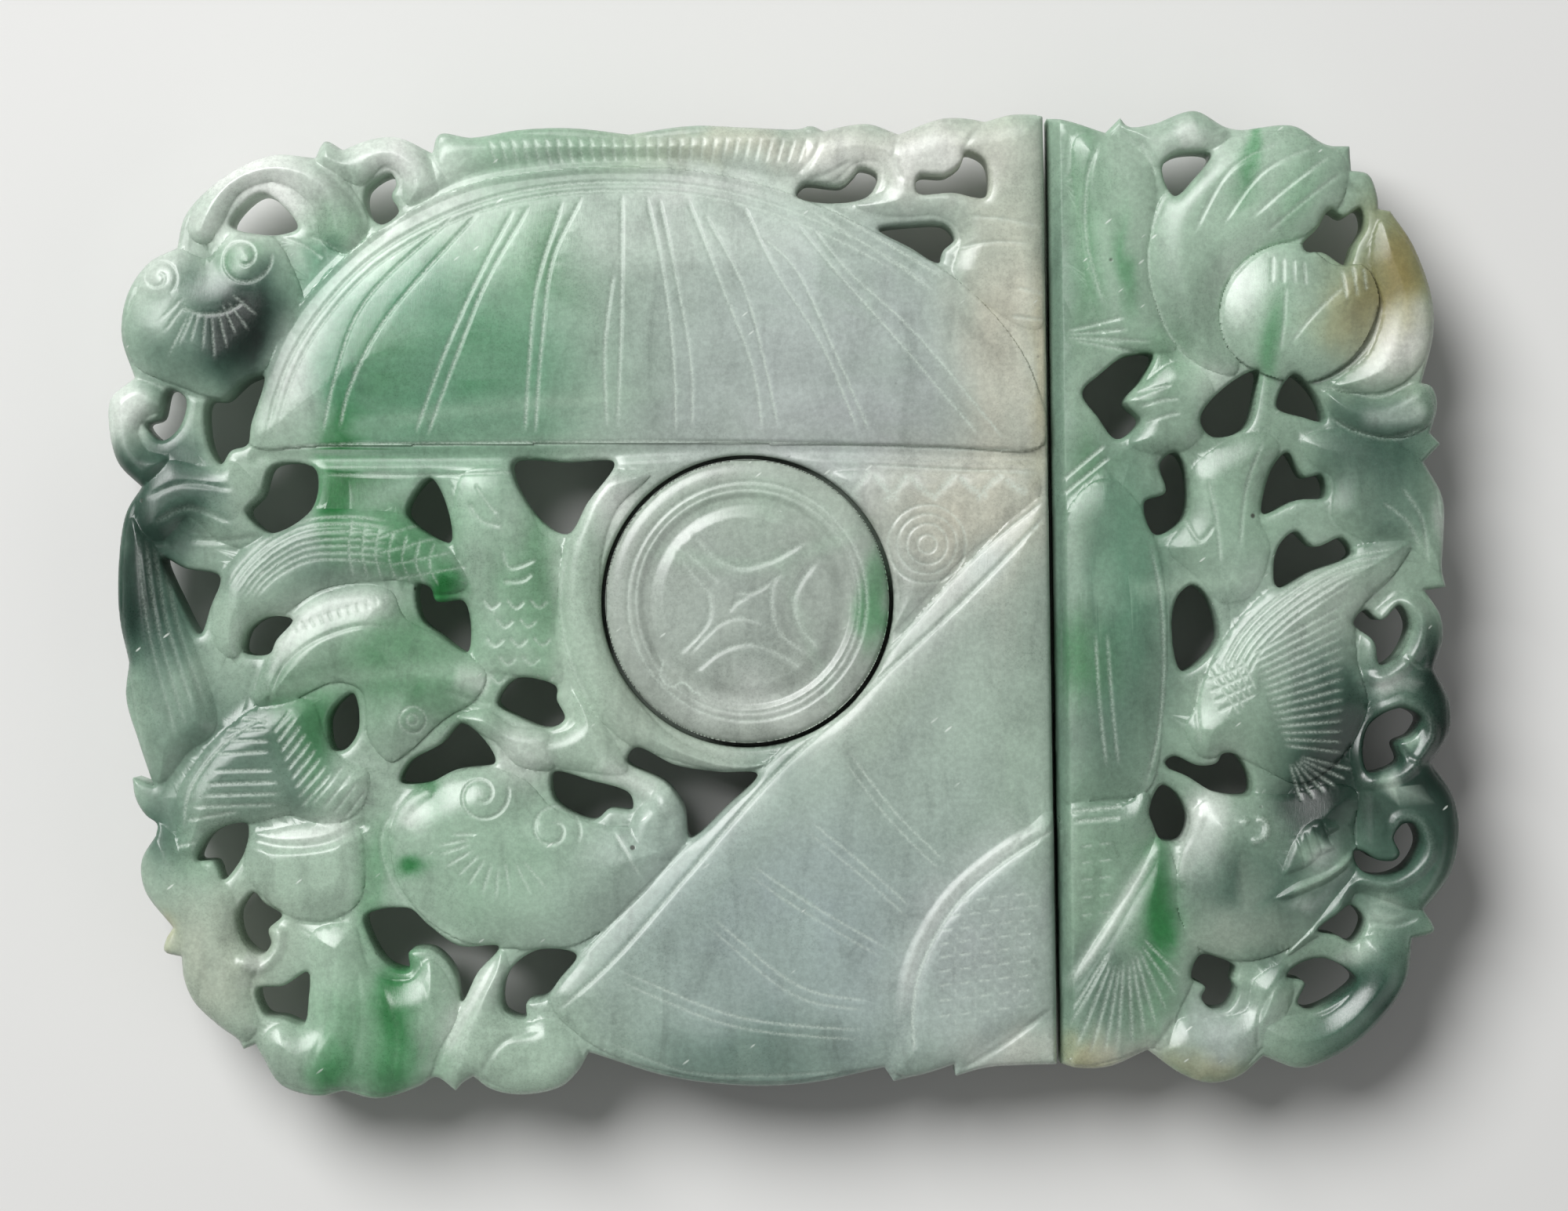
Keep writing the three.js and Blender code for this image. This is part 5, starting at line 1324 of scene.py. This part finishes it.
JADE_NUMBERS = {
    "IOR": 1.66, "Specular IOR Level": 0.4, "Coat Weight": 0.1, "Coat Roughness": 0.25,
    "Subsurface Weight": 0.2, "Subsurface Radius": (1.0, 1.0, 1.0), "Subsurface Scale": 0.7 * MM,
}


def jade(name):
    """Polished jade: clouds and fibres in its tone, frosted engraving, a few pits and fine scratches."""
    material = bpy.data.materials.new(name)
    material.use_nodes = True
    tree = material.node_tree
    surface = tree.nodes["Principled BSDF"]
    start = Sum(tree, None)
    place = start.make("ShaderNodeTexCoord", "Object")
    tone = start.make("ShaderNodeAttribute", "Color", {"attribute_name": "tone"})
    frosting = start.make("ShaderNodeAttribute", "Fac", {"attribute_name": "frosting"})

    fibres = place.scaled(1.8, 0.6, 1).noise(230, 4, 0.6, 0.8)
    veins = place.noise(60, 5, 0.7, 0.4).between(0.56, 0.8)
    blotches = place.noise(150, 4, 0.6, 0.3)
    fine = place.noise(2600, 2, 0.6)
    grain = place.noise(6500, 2, 0.6).between(0.32, 0.68)
    depth = 0.79 + blotches.between(0.3, 0.7) * 0.2 + fine.between(0.35, 0.7) * 0.14
    depth = depth + grain * 0.08 - fibres.between(0.45, 0.8) * 0.24
    colour = tone.dimmed(depth + veins * 0.25)
    colour = colour.mix((*linear(FROST_TONE), 1), frosting * (0.2 + grain * 0.6))
    nicks = place.nicks(0.9) * blotches.between(0.5, 0.6)
    colour = colour.mix((*linear(NICK_TONE), 1), nicks * 0.7)
    cells = place.make("ShaderNodeTexVoronoi", "Distance", {"feature": "F1"}, Vector=place, Scale=330.0)
    rare = place.noise(210, 1, 0.4).between(0.6, 0.66)
    pit = (1 - cells.between(0.035, 0.075)) * rare
    colour = colour.mix((*linear(PIT_TONE), 1), pit * 0.85)
    tree.links.new(colour.socket, surface.inputs["Base Color"])

    rough = 0.26 + frosting * 0.3 + place.noise(90, 3).between(0.4, 0.7) * 0.1 + pit * 0.3 + grain * 0.06
    tree.links.new(rough.socket, surface.inputs["Roughness"])
    scratches = place.scaled(9, 1.4, 1).noise(900, 3, 0.6, 1.2)
    height = scratches * 0.25 + fine * 0.5 * (0.4 + frosting) + place.noise(260, 2) * 1.2 - pit * 2
    bump = height.make("ShaderNodeBump", "Normal", Height=height, Strength=0.22, Distance=0.1 * MM)
    tree.links.new(bump.socket, surface.inputs["Normal"])
    for socket, value in JADE_NUMBERS.items():
        surface.inputs[socket].default_value = value
    return material


def plain(name, colour, rough):
    material = bpy.data.materials.new(name)
    material.use_nodes = True
    surface = material.node_tree.nodes["Principled BSDF"]
    surface.inputs["Base Color"].default_value = (*colour, 1)
    surface.inputs["Roughness"].default_value = rough
    return material


def rolled_edges(within):
    """How far the face sinks towards an edge: a broad soft roll and a tight quarter round at the rim."""
    depth = np.clip(within, 0, None) * PIXEL
    broad = ROLL_DROP * (1 - np.clip(depth / ROLL_WIDTH, 0, 1)) ** 2
    short = np.clip(RIM_ROUND - depth, 0, RIM_ROUND)
    return broad + RIM_ROUND - np.sqrt(RIM_ROUND ** 2 - short ** 2)


def plaques(stride):
    """Both halves, from the carving on the sheet."""
    carve_receiver()
    carve_tongue_half()
    radius = np.hypot(ACROSS - BOSS_CENTRE_PX[0], DOWN - BOSS_CENTRE_PX[1])
    shapes = {}
    for side, edge_px, piercings_px in ((-1, RECEIVER_EDGE_PX, RECEIVER_PIERCINGS_PX),
                                        (1, TONGUE_EDGE_PX, TONGUE_PIERCINGS_PX)):
        within = depth_inside(edge_loop(edge_px, side), EDGE_REACH_PX)
        for row in piercings_px:
            hole = smooth(row, closed=True, step=EDGE_STEP_PX)
            area, least, _ = near(hole, EDGE_REACH_PX, closed=True)
            within_hole = inside(hole)[area]
            within[area] = np.minimum(within[area], np.where(within_hole, -least, least))
        if side < 0:
            within = np.minimum(within, radius - (BOSS_RADIUS + CLEARANCE) / PIXEL)
        shapes[side] = within
    beyond = across_seam(np.stack([ACROSS, DOWN], -1).reshape(-1, 2), 1)[0].reshape(ACROSS.shape) * PIXEL
    slope = np.clip(SEAM_CHAMFER + CLEARANCE / 2 - beyond, 0, SEAM_CHAMFER + CLEARANCE)
    plate = FACE_Z + np.clip(relief, RELIEF_LOW, RELIEF_HIGH) - cut
    receiver_top = plate - rolled_edges(shapes[-1])
    tongue_top = plate - rolled_edges(shapes[1]) - np.where(beyond > 0, slope, 0)
    receiver = carved_solid("receiver_stone", shapes[-1], receiver_top, BACK_Z, stride)
    half = carved_solid("tongue_half_stone", shapes[1], tongue_top, BACK_Z, stride)
    carve_boss()
    disc = BOSS_RADIUS / PIXEL - radius
    boss_top = FACE_Z + relief - cut - np.where(disc > 0, rolled_edges(disc), 0)
    boss = carved_solid("boss", disc, boss_top, BACK_Z + TONGUE_THICKNESS - BOSS_ROOT, stride)
    return receiver, half, boss


def main():
    stride = 1
    receiver, half, boss = plaques(stride)
    centre = to_mm(BOSS_CENTRE_PX)[0]
    recess = tongue_outline(CLEARANCE, to_mm(SEAM_SOUTH_PX)[0, 0] + 2 * OVERRUN)
    cutter = stack("recess", [ring_at(recess, BACK_Z - OVERRUN),
                              ring_at(recess, BACK_Z + TONGUE_THICKNESS + CLEARANCE)])
    offset = BOSS_RADIUS + TONGUE_LIP + CLEARANCE + STUD_SIDE_GAP + STUD_HEAD_RADIUS
    combined(receiver, [("DIFFERENCE", cutter), ("UNION", stud("left stud", centre - (offset, 0)))])
    strip = tongue_outline(0, to_mm(TONGUE_STUD_PX)[0, 0])
    tongue = stack("tongue", [ring_at(strip, BACK_Z), ring_at(strip, BACK_Z + TONGUE_THICKNESS)])
    right = stud("right stud", to_mm(TONGUE_STUD_PX)[0])
    combined(half, [("UNION", tongue), ("UNION", boss), ("UNION", right)])

    receiver_tint = painted(RECEIVER_TONE, RECEIVER_PATCHES)
    tongue_tint = painted(TONGUE_TONE, TONGUE_PATCHES)
    boss_tint = painted(BOSS_TONE, BOSS_PATCHES)

    def receiver_tones(points):
        return sample(receiver_tint, points)

    def tongue_tones(points):
        on_boss = np.hypot(*(points - BOSS_CENTRE_PX).T) < (BOSS_RADIUS + CLEARANCE) / PIXEL
        return np.where(on_boss[:, None], sample(boss_tint, points), sample(tongue_tint, points))

    stone = jade("jade")
    finish_piece(receiver, RECEIVER_TRIANGLES, receiver_tones, "receiver", "receiver_plaque",
                 stone)
    finish_piece(half, TONGUE_TRIANGLES, tongue_tones, "tongue_half", "tongue_plaque", stone)


# The stage: the floor's half size in millimetres, and in metres the lamps' places and sizes, with
# their powers in watts, and the camera's height above the face. The world is dim, and only the
# camera sees it paler, by the seen gain.
FLOOR_HALF = 700
LAMPS = {"key": ((-0.28, 0.31, 0.54), 0.42, 5.0), "fill": ((0.5, -0.3, 0.5), 0.5, 0.5)}
WORLD_GREY, WORLD_STRENGTH, SEEN_GAIN = 0.9, 0.15, 0.7
CAMERA_HEIGHT, SENSOR_WIDTH = 0.36, 36.0


def stage():
    """A plain pale floor under soft light from the upper left, and a camera straight above."""
    corners = [(x * FLOOR_HALF, y * FLOOR_HALF, 0) for x, y in ((-1, -1), (1, -1), (1, 1), (-1, 1))]
    floor = new_object("floor", build_mesh("floor", corners, [np.array([[0, 1, 2, 3]])]))
    floor.data.materials.append(plain("floor", linear(FLOOR_TONE), 0.8))
    world = bpy.context.scene.world or bpy.data.worlds.new("world")
    bpy.context.scene.world = world
    world.use_nodes = True
    backdrop = world.node_tree.nodes["Background"]
    backdrop.inputs["Color"].default_value = (WORLD_GREY, WORLD_GREY, WORLD_GREY, 1)
    seen = Sum(world.node_tree, None).make("ShaderNodeLightPath", "Is Camera Ray")
    world.node_tree.links.new((WORLD_STRENGTH + seen * SEEN_GAIN).socket, backdrop.inputs["Strength"])
    for name, (place, size, power) in LAMPS.items():
        light = bpy.data.lights.new(name, "AREA")
        light.shape, light.size, light.energy = "DISK", size, power
        lamp = bpy.data.objects.new(name, light)
        lamp.location = place
        lamp.rotation_euler = (-Vector(place)).to_track_quat("-Z", "Y").to_euler()
        bpy.context.scene.collection.objects.link(lamp)
    lens = bpy.data.cameras.new("camera")
    lens.sensor_width = SENSOR_WIDTH
    lens.lens = SENSOR_WIDTH * CAMERA_HEIGHT / (PHOTO_WIDTH_PX * PIXEL * MM)
    camera = bpy.data.objects.new("camera", lens)
    camera.location = (0, 0, CAMERA_HEIGHT + FACE_Z * MM)
    bpy.context.scene.collection.objects.link(camera)
    bpy.context.scene.camera = camera
    bpy.context.scene.view_settings.view_transform = "Standard"


main()
stage()
